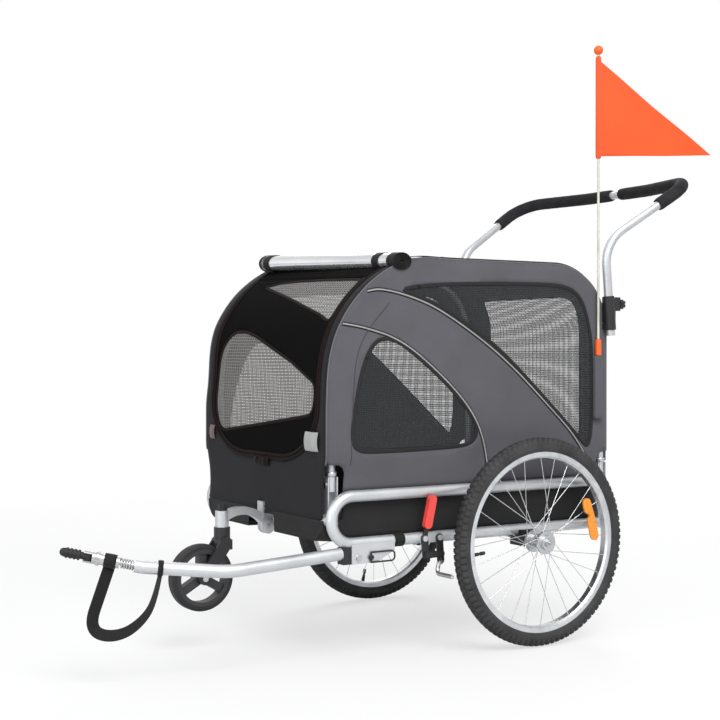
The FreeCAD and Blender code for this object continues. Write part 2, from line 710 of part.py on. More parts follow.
def lower_tub():
    """An open fabric tray between the rails, notched at its corners for the hinges."""
    ends = (NOSE_Y, CABIN_REAR_Y)
    top = SIDE_LAP_Z + SIDE_LAP
    tray = box((-TUB_HALF, TUB_HALF), ends, (TUB_LOW_Z, top))
    inner = TUB_HALF - FABRIC
    room = box((-inner, inner), (NOSE_Y + FABRIC, CABIN_REAR_Y - FABRIC), (FLOOR_Z, top + OVERRUN))
    tray = tray.cut(room)
    front = box((-RAIL_X, RAIL_X), (NOSE_Y - OVERRUN, HOOP_FRONT_Y + HINGE_WINDOW_RADIUS),
                (TUB_NOTCH_Z, top + OVERRUN))
    keep = box((-inner, inner), (NOSE_Y, NOSE_Y + FABRIC), (TUB_LOW_Z, FRONT_TUBE_Z))
    rear_y = HOOP_REAR_Y - HINGE_WINDOW_RADIUS
    rear = box((-RAIL_X, RAIL_X), (rear_y, CABIN_REAR_Y + OVERRUN), (TUB_NOTCH_Z, top + OVERRUN))
    keep_rear = box((-inner, inner), (CABIN_REAR_Y - FABRIC, CABIN_REAR_Y), (TUB_LOW_Z, SIDE_LAP_Z))
    tray = tray.cut(front).cut(rear).fuse(keep).fuse(keep_rear)
    tray = tray.cut(hinge_corners(rear_y, CABIN_REAR_Y + OVERRUN, 0))
    return tray.cut(clamp_notch()).removeSplitter()


def floor_board():
    """The stiff board that lies in the tray."""
    half = TUB_HALF - FABRIC - FLOOR_SIDE_GAP
    return box((-half, half), (NOSE_Y + FABRIC + FLOOR_FRONT_GAP, CABIN_REAR_Y - FABRIC - FLOOR_REAR_GAP),
               (FLOOR_Z, MAT_Z))


def rounded_slab(half, y_span, corner, z_span):
    """A slab with rounded corners in plan."""
    slab = box((-half, half), y_span, z_span)
    uprights = [edge for edge in slab.Edges if abs(edge.tangentAt(edge.FirstParameter).z) > 0.5]
    return slab.makeFillet(corner, uprights)


def floor_mat():
    """A padded mat: drawn-in sides below and a crown above."""
    half = TUB_HALF - FABRIC - FLOOR_SIDE_GAP - MAT_INSET
    front = HOOP_FRONT_Y + HOOP_RADIUS + MAT_INSET
    rear = HOOP_REAR_Y - HOOP_RADIUS - MAT_INSET
    body = rounded_slab(half, (front, rear), MAT_CORNER, (MAT_Z, MAT_Z + MAT_THICK))
    rims = [edge for edge in body.Edges
            if abs(edge.BoundBox.ZLength) < GAP and edge.BoundBox.ZMin > MAT_Z + GAP]
    body = body.makeFillet(MAT_EDGE, rims)
    crown_half = half - MAT_CORNER / 2
    crown = rounded_slab(crown_half, (front + MAT_CORNER / 2, rear - MAT_CORNER / 2), MAT_CORNER,
                         (MAT_Z + MAT_THICK - MAT_EDGE, MAT_Z + MAT_THICK + MAT_CROWN))
    tops = [edge for edge in crown.Edges
            if abs(edge.BoundBox.ZLength) < GAP and edge.BoundBox.ZMin > MAT_Z + MAT_THICK]
    crown = crown.makeFillet(MAT_CROWN - GAP, tops)
    return body.fuse(crown).removeSplitter()


def hoop():
    """A cabin hoop: front upright, roof and rear upright in one tube, drilled for its hinge pins."""
    points = [vec(HOOP_X, HOOP_FRONT_Y, HOOP_TAIL_Z), vec(HOOP_X, HOOP_FRONT_Y, HOOP_TOP_Z),
              vec(HOOP_X, HOOP_REAR_Y, HOOP_TOP_Z), vec(HOOP_X, HOOP_REAR_Y, HOOP_TAIL_Z)]
    radii = (CABIN_FRONT_RADIUS - HOOP_INSET, CABIN_REAR_RADIUS - HOOP_INSET)
    tube = bent_tube(points, radii, HOOP_RADIUS, HOOP_WALL)
    for y in (HOOP_FRONT_Y, HOOP_REAR_Y):
        tube = tube.cut(hinge_pin_bar(y, HINGE_PIN_RADIUS))
    return tube


def hinge_pin_bar(y, radius):
    """The straight shank of a hinge pin, along Y."""
    reach = HOOP_RADIUS + HINGE_SIDE_GAP + HINGE_EAR
    return rod(vec(HOOP_X, y - reach, HINGE_PIN_Z), vec(HOOP_X, y + reach, HINGE_PIN_Z), radius)


def hinge_pins():
    """Four pins with a head at each end."""
    pins = []
    for y in (HOOP_FRONT_Y, HOOP_REAR_Y):
        reach = HOOP_RADIUS + HINGE_SIDE_GAP + HINGE_EAR
        pin = hinge_pin_bar(y, HINGE_PIN_RADIUS)
        for side in (-1, 1):
            face = vec(HOOP_X, y + side * reach, HINGE_PIN_Z)
            pin = pin.fuse(rod(face, face + vec(0, side * HINGE_PIN_HEAD_THICK, 0), HINGE_PIN_HEAD))
        pins.append(pin)
        pins.append(mirrored(pin))
    return Part.makeCompound(pins)


def hinge_brackets(rails):
    """Four upright channels, open outboard, that hold the hoop tails."""
    brackets = []
    for y, foot in ((HOOP_FRONT_Y, HINGE_FOOT_Z), (HOOP_REAR_Y, CROSS_Z)):
        reach = HOOP_RADIUS + HINGE_SIDE_GAP
        web_x = HOOP_X - HOOP_RADIUS - HINGE_SIDE_GAP
        outer = box((web_x - HINGE_WEB, TUB_HALF), (y - reach - HINGE_EAR, y + reach + HINGE_EAR),
                    (foot, HINGE_TOP_Z))
        room = box((web_x, RAIL_X), (y - reach, y + reach), (foot - OVERRUN, HINGE_TOP_Z + OVERRUN))
        channel = outer.cut(room).cut(hinge_pin_bar(y, HINGE_PIN_RADIUS))
        front = x_rod((-RAIL_X, RAIL_X), RAIL_FRONT_Y, FRONT_TUBE_Z, RAIL_RADIUS)
        rear = x_rod((-RAIL_X, RAIL_X), CROSS_YS[-1], CROSS_Z, CROSS_RADIUS)
        channel = max(channel.cut(rails).cut(front).cut(rear).Solids, key=lambda solid: solid.Volume)
        brackets.append(channel)
        brackets.append(mirrored(channel))
    return Part.makeCompound(brackets)


def rolled_cover():
    """The weather cover rolled up across the front of the roof, open at its bore."""
    reach = CABIN_FRONT_RADIUS + ROLL_RADIUS
    z = FRONT_ARC_Z + math.sqrt(reach ** 2 - (ROLL_Y - FRONT_ARC_Y) ** 2)
    ends = (vec(-ROLL_HALF, ROLL_Y, z), vec(ROLL_HALF, ROLL_Y, z))
    return pipe(*ends, ROLL_RADIUS, ROLL_RADIUS * ROLL_BORE_SHARE)


def tow_bracket(rails):
    """A channel welded under the left rail: two tapered cheeks and a web."""
    outline = ((TOW_PLATE_FRONT_Y, LOWER_RAIL_Z), (TOW_PLATE_FRONT_Y, TOW_PLATE_BOTTOM_Z),
               (TOW_PLATE_TAPER_Y, TOW_PLATE_BOTTOM_Z), (TOW_PLATE_REAR_Y, TOW_PLATE_TAIL_Z),
               (TOW_PLATE_REAR_Y, LOWER_RAIL_Z))
    left = side_plate(outline, (RAIL_OUT_X, RAIL_OUT_X + TOW_PLATE))
    right = side_plate(outline, (RAIL_IN_X - TOW_PLATE, RAIL_IN_X))
    web_top = LOWER_RAIL_Z - RAIL_RADIUS + TOW_WEB
    web = box((RAIL_IN_X, RAIL_OUT_X), (TOW_PLATE_FRONT_Y, TOW_PLATE_REAR_Y),
              (web_top - 2 * TOW_WEB, web_top))
    channel = left.fuse(right).fuse(web).cut(rails)
    reach = (RAIL_IN_X - OVERRUN, RAIL_OUT_X + OVERRUN)
    channel = channel.cut(x_rod(reach, TOW_PIVOT_Y, TOW_PIVOT_Z, TOW_BOLT_RADIUS))
    channel = channel.cut(x_rod(reach, TOW_LOCK_Y, TOW_PIVOT_Z, TOW_LOCK_RADIUS + RUN))
    return max(channel.removeSplitter().Solids, key=lambda solid: solid.Volume)


def rail_room():
    """The left rail grown by the side gap, for trimming what swings below it."""
    points = rail_points()
    bend = RAIL_RISE / 2 - RUN
    return round_sweep(rounded_wire(points, (bend, bend)), RAIL_RADIUS + GAP)


def tow_plug():
    """The block that pivots in the bracket on a rounded tail, with a spigot in the arm's end."""
    wide = (RAIL_X - RAIL_RADIUS + GAP, RAIL_X + RAIL_RADIUS - GAP)
    low, high = TOW_PIVOT_Z - TOW_PLUG_HALF_HEIGHT, TOW_PIVOT_Z + TOW_PLUG_HALF_HEIGHT
    start, bend = vec(*TOW_START), vec(*TOW_BEND)
    tail = x_rod(wide, TOW_PIVOT_Y, TOW_PIVOT_Z, TOW_PLUG_HALF_HEIGHT)
    neck = box(wide, (TOW_PLUG_FRONT_Y, TOW_PIVOT_Y), (low, high))
    nose = box(wide, (TOW_PLUG_FRONT_Y, TOW_PLATE_FRONT_Y - GAP), (low, start.z + TOW_TUBE_RADIUS))
    face = vec(RAIL_X, TOW_PLUG_FRONT_Y, start.z)
    inward = (bend - start).normalize()
    spigot = rod(face, face + inward * TOW_PLUG_SPIGOT, TOW_TUBE_RADIUS - TOW_TUBE_WALL - RUN)
    plug = tail.fuse(neck).fuse(nose.cut(rail_room())).fuse(spigot)
    return plug.cut(x_rod((0, 2 * RAIL_X), TOW_PIVOT_Y, TOW_PIVOT_Z, TOW_BOLT_RADIUS + RUN)).removeSplitter()


def hitch_axis():
    """The end of the arm tube and the direction in which the hitch points."""
    neck, aim = vec(*TOW_NECK), vec(*TOW_AIM)
    along = (aim - neck).normalize()
    return neck + along * TOW_END_RUN, along


def tow_arm():
    """The arm tube: a straight run, a gentle bend inward and a short rise to the hitch."""
    end, along = hitch_axis()
    start, bend = vec(*TOW_START), vec(*TOW_BEND)
    first = vec(RAIL_X, TOW_PLUG_FRONT_Y, start.z)
    points = [first, bend, vec(*TOW_NECK), end]
    lean = (vec(*TOW_NECK) - bend).getAngle(along)
    short = TOW_END_RUN / 2 / math.tan(lean / 2)
    tube = bent_tube(points, (TOW_BEND_RADIUS, short), TOW_TUBE_RADIUS, TOW_TUBE_WALL)
    behind = box((0, 2 * RAIL_X), (TOW_PLUG_FRONT_Y, TOW_PLUG_FRONT_Y + OVERRUN), (0, 2 * LOWER_RAIL_Z))
    cap = rod(end - along * TOW_TUBE_WALL, end, TOW_TUBE_RADIUS - TOW_TUBE_WALL / 2)
    return tube.cut(behind).fuse(cap).removeSplitter()


def tow_bolt():
    """The pivot bolt of the arm, with a head and a nut."""
    ends = (RAIL_IN_X - TOW_PLATE, RAIL_OUT_X + TOW_PLATE)
    bolt = x_rod(ends, TOW_PIVOT_Y, TOW_PIVOT_Z, TOW_BOLT_RADIUS)
    for x in ((ends[0] - TOW_BOLT_HEAD_THICK, ends[0]), (ends[1], ends[1] + TOW_BOLT_HEAD_THICK)):
        bolt = bolt.fuse(x_rod(x, TOW_PIVOT_Y, TOW_PIVOT_Z, TOW_BOLT_HEAD))
    return bolt


def tow_lock_pin():
    """The pin that locks the arm, and the coated wire loop on its head."""
    outside = RAIL_OUT_X + TOW_PLATE + GAP
    ends = (RAIL_IN_X - TOW_PLATE - TOW_LOCK_TAIL, outside)
    pin = x_rod(ends, TOW_LOCK_Y, TOW_PIVOT_Z, TOW_LOCK_RADIUS)
    head = (outside, outside + TOW_LOCK_HEAD_THICK)
    pin = pin.fuse(x_rod(head, TOW_LOCK_Y, TOW_PIVOT_Z, TOW_LOCK_HEAD))
    wire_x = (head[0] + head[1]) / 2
    low, high = TOW_PIVOT_Z - LOCK_LOOP_HEIGHT / 2, TOW_PIVOT_Z + LOCK_LOOP_HEIGHT / 2
    near, far = TOW_LOCK_Y, TOW_LOCK_Y + LOCK_LOOP_LENGTH
    points = [vec(wire_x, near, low), vec(wire_x, far, low), vec(wire_x, far, high), vec(wire_x, near, high)]
    loop = round_sweep(rounded_wire(points, (LOCK_LOOP_CORNER, LOCK_LOOP_CORNER)), LOCK_LOOP_RADIUS)
    post = rod(points[0], points[-1], LOCK_LOOP_RADIUS)
    return pin.fuse(loop).fuse(post).removeSplitter()


def spring_points(start, along, count):
    """Evenly spaced points on the spring's helix, and the side directions that it turns in."""
    side = along.cross(vec(0, 0, 1)).normalize()
    other = along.cross(side)
    length = SPRING_LENGTH - 2 * SPRING_WIRE - 2 * SPRING_END_GAP
    first = start + along * (SPRING_WIRE + SPRING_END_GAP)
    points = []
    for index in range(count + 1):
        share = index / count
        angle = 2 * math.pi * SPRING_TURNS * share
        place = first + along * (length * share)
        points.append(place + (side * math.cos(angle) + other * math.sin(angle)) * SPRING_RADIUS)
    return points


def hitch_spring():
    """The visible coil spring: one unbroken wire on arcs of a quarter turn."""
    start, along = hitch_axis()
    pieces = SPRING_TURNS * 4
    points = spring_points(start, along, pieces * 2)
    arcs = [Part.Arc(*points[index:index + 3]).toShape() for index in range(0, pieces * 2, 2)]
    wire = Part.Wire(arcs)
    pitch = (SPRING_LENGTH - 2 * SPRING_WIRE - 2 * SPRING_END_GAP) / SPRING_TURNS
    print("spring gap between turns", round(pitch - 2 * SPRING_WIRE, 2))
    return round_sweep(wire, SPRING_WIRE)


def hitch_sleeve():
    """A turned sleeve with a lip, its guide rod inside the spring, bored for the clevis."""
    start, along = hitch_axis()
    foot = start + along * SPRING_LENGTH
    sleeve = rod(foot, foot + along * SLEEVE_LENGTH, SLEEVE_RADIUS)
    lip = foot + along * (SLEEVE_LENGTH - SLEEVE_LIP_LENGTH)
    sleeve = sleeve.fuse(rod(lip, foot + along * SLEEVE_LENGTH, SLEEVE_LIP))
    sleeve = sleeve.fuse(rod(start, foot, HITCH_ROD_RADIUS))
    ends = (foot + along * (SLEEVE_LENGTH / 2), foot + along * (SLEEVE_LENGTH + OVERRUN))
    bore = rod(*ends, HITCH_ROD_RADIUS + RUN)
    return sleeve.cut(bore).removeSplitter()


def hitch_clevis():
    """A fork that turns in the sleeve and holds the coupler on a cross pin."""
    start, along = hitch_axis()
    foot = start + along * (SPRING_LENGTH + SLEEVE_LENGTH + GAP)
    up = along.cross(vec(0, 0, 1)).cross(along).normalize()
    body = rod(foot, foot + along * CLEVIS_LENGTH, CLEVIS_RADIUS)
    slot_half = CLEVIS_RADIUS - CLEVIS_CHEEK
    slot = Part.makeBox(2 * OVERRUN, 2 * OVERRUN, 2 * slot_half, vec(-OVERRUN, -OVERRUN, -slot_half))
    slot.Placement = FreeCAD.Placement(foot + along * (CLEVIS_BACK + OVERRUN),
                                       FreeCAD.Rotation(along, along.cross(up), up, "XYZ"))
    shank_end = foot - along * (SLEEVE_LENGTH / 2 - GAP)
    clevis = body.cut(slot).fuse(rod(shank_end, foot, HITCH_ROD_RADIUS))
    pin_at = foot + along * (CLEVIS_BACK + COUPLER_TONGUE / 2)
    pin = rod(pin_at - up * CLEVIS_RADIUS, pin_at + up * CLEVIS_RADIUS, COUPLER_PIN_RADIUS)
    return clevis.fuse(pin).removeSplitter()


def hitch_coupler():
    """The rubber coupler: a tongue in the clevis, a ribbed body and a ball end."""
    start, along = hitch_axis()
    up = along.cross(vec(0, 0, 1)).cross(along).normalize()
    foot = start + along * (SPRING_LENGTH + SLEEVE_LENGTH + GAP + CLEVIS_BACK)
    pin_at = foot + along * (COUPLER_TONGUE / 2)
    half = CLEVIS_RADIUS - CLEVIS_CHEEK - GAP
    eye = rod(pin_at - up * half, pin_at + up * half, COUPLER_TONGUE / 2 - GAP)
    neck_start = foot + along * (COUPLER_TONGUE / 2)
    body_start = foot + along * (CLEVIS_LENGTH - CLEVIS_BACK + COUPLER_TONGUE / 2)
    neck = rod(neck_start, body_start, half)
    tip = foot + along * (COUPLER_LENGTH - COUPLER_BALL_RADIUS + CLEVIS_BACK)
    body = rod(body_start, tip, COUPLER_RADIUS - COUPLER_RIB)
    pitch = (tip - body_start).Length / COUPLER_RIB_COUNT
    for index in range(COUPLER_RIB_COUNT):
        rib = body_start + along * (index * pitch)
        body = body.fuse(rod(rib, rib + along * COUPLER_RIB_WIDTH, COUPLER_RADIUS))
    ball = Part.makeSphere(COUPLER_BALL_RADIUS, tip)
    coupler = eye.fuse(neck).fuse(body).fuse(ball)
    coupler = coupler.cut(rod(tip - up * OVERRUN, tip + up * OVERRUN, COUPLER_HITCH_RADIUS))
    print("hitch bore at", [round(value, 4) for value in tip], "along", [round(value, 5) for value in up])
    coupler = coupler.cut(rod(pin_at - up * OVERRUN, pin_at + up * OVERRUN, COUPLER_PIN_RADIUS + RUN))
    return coupler.removeSplitter()


def strap_edge(spline, across, offset):
    """One long edge of the strap's side outline: the spline moved square to itself within its plane."""
    first, last = spline.FirstParameter, spline.LastParameter
    points = []
    for index in range(STRAP_SAMPLES + 1):
        place = first + (last - first) * index / STRAP_SAMPLES
        tangent = spline.tangent(place)[0]
        points.append(spline.value(place) + tangent.cross(across).normalize() * offset)
    edge = Part.BSplineCurve()
    edge.interpolate(points)
    return edge.toShape(), points[0], points[-1]


def safety_strap():
    """A hanging webbing loop from the hitch sleeve back to the arm, flat across its own plane."""
    start, end = vec(*STRAP_START, 0), vec(*STRAP_END, 0)
    along = (end - start).normalize()
    across = vec(-along.y, along.x, 0)
    spine = [start + along * u + vec(0, 0, z) for u, z in STRAP_ROUTE]
    spline = Part.BSplineCurve()
    inner = len(spine) - 3
    spline.buildFromPolesMultsKnots(spine, [3] + [1] * inner + [3], list(range(inner + 2)), False, 2)
    upper, upper_start, upper_end = strap_edge(spline, across, STRAP_THICK / 2)
    lower, lower_start, lower_end = strap_edge(spline, across, -STRAP_THICK / 2)
    ends = (Part.makeLine(upper_end, lower_end), Part.makeLine(lower_start, upper_start))
    outline = Part.Wire([upper, ends[0], lower, ends[1]])
    strap = Part.Face(outline).translated(across * (-STRAP_WIDTH / 2)).extrude(across * STRAP_WIDTH)
    foot, aim = hitch_axis()
    bend, neck = vec(*TOW_BEND), vec(*TOW_NECK)
    for base, axis, place, radius in ((foot, aim, spine[0], SLEEVE_RADIUS + RUN),
                                      (neck, (bend - neck).normalize(), spine[-1], TOW_TUBE_RADIUS + RUN)):
        middle = base + axis * (place - base).dot(axis)
        ends = (middle - axis * (STRAP_WIDTH / 2), middle + axis * (STRAP_WIDTH / 2))
        strap = strap.fuse(rod(*ends, radius + STRAP_THICK))
        strap = strap.cut(rod(ends[0] - axis * OVERRUN, ends[1] + axis * OVERRUN, radius))
    return strap.removeSplitter()


def caster_clamp():
    """A block round the front tube with a lug below it for the caster arm."""
    reach = RAIL_RADIUS + CASTER_CLAMP_WALL
    block = box((-CASTER_CLAMP_HALF, CASTER_CLAMP_HALF), (RAIL_FRONT_Y - reach, RAIL_FRONT_Y + reach),
                (CASTER_CLAMP_BOTTOM_Z, FRONT_TUBE_Z + reach))
    lug = box((-CASTER_LUG_HALF, CASTER_LUG_HALF),
              (CASTER_PIVOT_DROP_Y - CASTER_EYE_RADIUS + CASTER_LOCK_RADIUS, RAIL_FRONT_Y + reach),
              (CASTER_PIVOT_Z, CASTER_CLAMP_BOTTOM_Z))
    lug_x = (-CASTER_LUG_HALF, CASTER_LUG_HALF)
    lug = lug.fuse(x_rod(lug_x, CASTER_PIVOT_DROP_Y, CASTER_PIVOT_Z, CASTER_EYE_RADIUS - CASTER_LOCK_RADIUS))
    clamp = block.fuse(lug)
    wide = (-RAIL_X, RAIL_X)
    clamp = clamp.cut(x_rod(wide, RAIL_FRONT_Y, FRONT_TUBE_Z, RAIL_RADIUS))
    clamp = clamp.cut(x_rod(wide, CASTER_PIVOT_DROP_Y, CASTER_PIVOT_Z, CASTER_PIN_RADIUS))
    lock_y, lock_z = lock_place()
    return clamp.cut(x_rod(wide, lock_y, lock_z, CASTER_LOCK_RADIUS + RUN)).removeSplitter()


def lock_place():
    """Where the spring clip crosses the eye of the caster arm."""
    step = CASTER_LOCK_OFFSET * math.sqrt(0.5)
    return CASTER_PIVOT_DROP_Y + step, CASTER_PIVOT_Z + step


def caster_arm():
    """The arched arm: an eye forked over the lug, a bowed beam and an upright post."""
    ends = (vec(0, CASTER_PIVOT_DROP_Y, CASTER_PIVOT_Z), vec(0, CASTER_ARM_RISE_Y, CASTER_ARM_RISE_Z),
            vec(0, CASTER_STEM_Y, (CASTER_POST_LOW_Z + CASTER_POST_TOP_Z) / 2))
    bow = Part.Circle(*ends)
    centre, radius = bow.Center, bow.Radius
    lines = []
    for side in (-1, 1):
        scale = (radius + side * CASTER_ARM_THICK_HALF) / radius
        lines.append([centre + (end - centre) * scale for end in ends])
    inner, outer = lines
    edges = [Part.Arc(*inner).toShape(), Part.makeLine(inner[-1], outer[-1]),
             Part.Arc(*reversed(outer)).toShape(), Part.makeLine(outer[0], inner[0])]
    beam = Part.Face(Part.Wire(edges)).extrude(vec(2 * CASTER_ARM_HALF, 0, 0))
    beam = beam.translated(vec(-CASTER_ARM_HALF, 0, 0))
    wide = (-CASTER_ARM_HALF, CASTER_ARM_HALF)
    arm = beam.fuse(x_rod(wide, CASTER_PIVOT_DROP_Y, CASTER_PIVOT_Z, CASTER_EYE_RADIUS))
    post = rod(vec(0, CASTER_STEM_Y, CASTER_POST_LOW_Z), vec(0, CASTER_STEM_Y, CASTER_POST_TOP_Z),
               CASTER_POST_RADIUS)
    arm = arm.fuse(post)
    slot = (-CASTER_LUG_HALF - GAP, CASTER_LUG_HALF + GAP)
    arm = arm.cut(x_rod(slot, CASTER_PIVOT_DROP_Y, CASTER_PIVOT_Z, CASTER_EYE_RADIUS + CASTER_LOCK_RADIUS))
    front = RAIL_FRONT_Y - RAIL_RADIUS - CASTER_CLAMP_WALL - GAP
    arm = arm.cut(box(slot, (front, RAIL_FRONT_Y), (CASTER_PIVOT_Z, CASTER_ARM_RISE_Z)))
    room = (-CASTER_CLAMP_HALF, CASTER_CLAMP_HALF)
    heights = (CASTER_CLAMP_BOTTOM_Z - GAP, CASTER_ARM_RISE_Z + OVERRUN)
    arm = arm.cut(box(room, (front, RAIL_FRONT_Y), heights))
    bore = CASTER_STEM_RADIUS + RUN
    arm = arm.cut(rod(vec(0, CASTER_STEM_Y, 0), vec(0, CASTER_STEM_Y, CASTER_POST_TOP_Z + OVERRUN), bore))
    reach = (-RAIL_X, RAIL_X)
    arm = arm.cut(x_rod(reach, CASTER_PIVOT_DROP_Y, CASTER_PIVOT_Z, CASTER_PIN_RADIUS + RUN))
    lock_y, lock_z = lock_place()
    return arm.cut(x_rod(reach, lock_y, lock_z, CASTER_LOCK_RADIUS + RUN)).removeSplitter()


def caster_pivot_pin():
    """The pin through the lug and the arm's eye."""
    half = CASTER_ARM_HALF + GAP
    pin = x_rod((-half, half), CASTER_PIVOT_DROP_Y, CASTER_PIVOT_Z, CASTER_PIN_RADIUS)
    for side in (-1, 1):
        head = sorted((side * half, side * (half + CASTER_PIN_HEAD_THICK)))
        pin = pin.fuse(x_rod(head, CASTER_PIVOT_DROP_Y, CASTER_PIVOT_Z, CASTER_PIN_HEAD))
    return pin


def caster_lock_clip():
    """The spring clip: a straight leg through the eye and a bow to pull it by."""
    lock_y, lock_z = lock_place()
    half = CASTER_ARM_HALF + CASTER_LOCK_TAIL
    turn = vec(half, lock_y, lock_z)
    centre = turn + vec(0, 0, CASTER_LOCK_RING)
    leg = Part.makeLine(vec(-half, lock_y, lock_z), turn)
    bow = Part.Arc(turn, centre + vec(CASTER_LOCK_RING, 0, 0), centre + vec(0, 0, CASTER_LOCK_RING)).toShape()
    return round_sweep(Part.Wire([leg, bow]), CASTER_LOCK_RADIUS)


def caster_knob():
    """The hand knob on top of the caster post."""
    base = vec(0, CASTER_STEM_Y, CASTER_POST_TOP_Z + GAP)
    return lobed_knob(base, vec(0, 0, 1), CASTER_KNOB_RADIUS, CASTER_KNOB_HEIGHT, CASTER_KNOB_LOBES,
                      CASTER_KNOB_NOTCH)


def caster_fork():
    """The moulded fork with its steel stem: a collar, a crown and two raked legs."""
    stem = rod(vec(0, CASTER_STEM_Y, CASTER_COLLAR_Z), vec(0, CASTER_STEM_Y, CASTER_POST_TOP_Z),
               CASTER_STEM_RADIUS)
    collar = rod(vec(0, CASTER_STEM_Y, CASTER_CROWN_Z), vec(0, CASTER_STEM_Y, CASTER_POST_LOW_Z - GAP),
                 CASTER_COLLAR_RADIUS)
    inner = CASTER_HALF + CASTER_LEG_GAP
    outer = inner + CASTER_LEG_THICK
    low_crown = CASTER_AXLE_Z + CASTER_RADIUS
    reach = CASTER_LEG_WIDTH / 2
    crown = box((-outer, outer), (CASTER_STEM_Y - reach, CASTER_STEM_Y + reach),
                (low_crown - reach, CASTER_CROWN_Z))
    wheel_room = x_rod((-inner, inner), CASTER_AXLE_Y, CASTER_AXLE_Z, CASTER_RADIUS + CASTER_LEG_GAP)
    fork = stem.fuse(collar).fuse(crown)
    ends = ((CASTER_STEM_Y, low_crown), (CASTER_AXLE_Y, CASTER_AXLE_Z))
    for span in ((-outer, -inner), (inner, outer)):
        fork = fork.fuse(strap_plate(ends, reach, span))
    fork = fork.cut(wheel_room)
    bore = x_rod((-RAIL_X, RAIL_X), CASTER_AXLE_Y, CASTER_AXLE_Z, CASTER_AXLE_RADIUS)
    return fork.cut(bore).removeSplitter()


def caster_wheel():
    """A moulded wheel with three broad spokes."""
    span = (-CASTER_HALF, CASTER_HALF)
    rim_radius = CASTER_RADIUS - CASTER_TYRE_DEPTH
    ring = x_rod(span, CASTER_AXLE_Y, CASTER_AXLE_Z, rim_radius)
    ring = ring.cut(x_rod(span, CASTER_AXLE_Y, CASTER_AXLE_Z, rim_radius - CASTER_RIM_DEPTH))
    wheel = ring.fuse(x_rod(span, CASTER_AXLE_Y, CASTER_AXLE_Z, CASTER_HUB_RADIUS))
    for index in range(CASTER_SPOKES):
        angle = 2 * math.pi * index / CASTER_SPOKES + math.pi / 2
        run = rim_radius - CASTER_RIM_DEPTH / 2
        end = (CASTER_AXLE_Y + run * math.cos(angle), CASTER_AXLE_Z + run * math.sin(angle))
        half = CASTER_HALF * 2 / 3
        bar = strap_plate(((CASTER_AXLE_Y, CASTER_AXLE_Z), end), CASTER_SPOKE_WIDTH / 2, (-half, half))
        wheel = wheel.fuse(bar.common(x_rod(span, CASTER_AXLE_Y, CASTER_AXLE_Z, rim_radius)))
    bore = x_rod(span, CASTER_AXLE_Y, CASTER_AXLE_Z, CASTER_AXLE_RADIUS + RUN)
    return wheel.cut(bore).removeSplitter()


def caster_tyre():
    """A rubber band with rounded shoulders on the caster wheel."""
    span = (-CASTER_HALF, CASTER_HALF)
    band = x_rod(span, CASTER_AXLE_Y, CASTER_AXLE_Z, CASTER_RADIUS)
    rims = [edge for edge in band.Edges if edge.BoundBox.XLength < GAP]
    band = band.makeFillet(CASTER_TYRE_DEPTH / 2, rims)
    return band.cut(x_rod(span, CASTER_AXLE_Y, CASTER_AXLE_Z, CASTER_RADIUS - CASTER_TYRE_DEPTH))


def caster_axle():
    """The caster wheel's bolt through both fork legs."""
    half = CASTER_HALF + CASTER_LEG_GAP + CASTER_LEG_THICK
    bolt = x_rod((-half, half), CASTER_AXLE_Y, CASTER_AXLE_Z, CASTER_AXLE_RADIUS)
    for side in (-1, 1):
        head = sorted((side * half, side * (half + CASTER_AXLE_HEAD_THICK)))
        bolt = bolt.fuse(x_rod(head, CASTER_AXLE_Y, CASTER_AXLE_Z, CASTER_AXLE_HEAD))
    return bolt


def brake_layers():
    """Places along X of the brake's plate, straps, link and stud heads."""
    plate = (RAIL_OUT_X, RAIL_OUT_X + BRAKE_PLATE)
    strap = (plate[1] + GAP, plate[1] + GAP + BRAKE_STRAP)
    link = (strap[1] + GAP, strap[1] + GAP + BRAKE_LINK)
    return plate, strap, link


def brake_pins():
    """The four pivots as y, z places: lever, lever foot, arm and arm foot."""
    drop = (BRAKE_CRANK_LEAN, -BRAKE_CRANK)
    lever = (BRAKE_LEVER_Y, LOWER_RAIL_Z)
    arm = (BRAKE_ARM_Y, LOWER_RAIL_Z)
    return lever, (lever[0] + drop[0], lever[1] + drop[1]), arm, (arm[0] + drop[0], arm[1] + drop[1])


def brake_bracket():
    """A plate on the rail with the two pivot studs."""
    plate, strap, _ = brake_layers()
    lever, _, arm, _ = brake_pins()
    ends = (lever[0] - BRAKE_STRAP_HALF, arm[0] + BRAKE_STRAP_HALF)
    body = box(plate, ends, (LOWER_RAIL_Z - BRAKE_PLATE_BELOW, LOWER_RAIL_Z + BRAKE_PLATE_ABOVE))
    for y, z in (lever, arm):
        head = (strap[1] + GAP, strap[1] + GAP + BRAKE_STUD_HEAD_THICK)
        body = body.fuse(x_rod((plate[1], head[0]), y, z, BRAKE_STUD_RADIUS))
        body = body.fuse(x_rod(head, y, z, BRAKE_STUD_HEAD))
    return body.removeSplitter()


def brake_lever():
    """The hand lever: a strap from its foot through the pivot up into the grip."""
    _, strap, _ = brake_layers()
    lever, foot, _, _ = brake_pins()
    top = (lever[0] + BRAKE_LEVER_LEAN, BRAKE_LEVER_TOP_Z)
    body = strap_plate((foot, lever), BRAKE_STRAP_HALF, strap)
    body = body.fuse(strap_plate((lever, top), BRAKE_STRAP_HALF - BRAKE_PLATE, strap))
    body = body.cut(x_rod((0, TRACK_HALF), *lever, BRAKE_STUD_RADIUS + RUN))
    return body.cut(x_rod((0, TRACK_HALF), *foot, BRAKE_STUD_RADIUS + RUN)).removeSplitter()


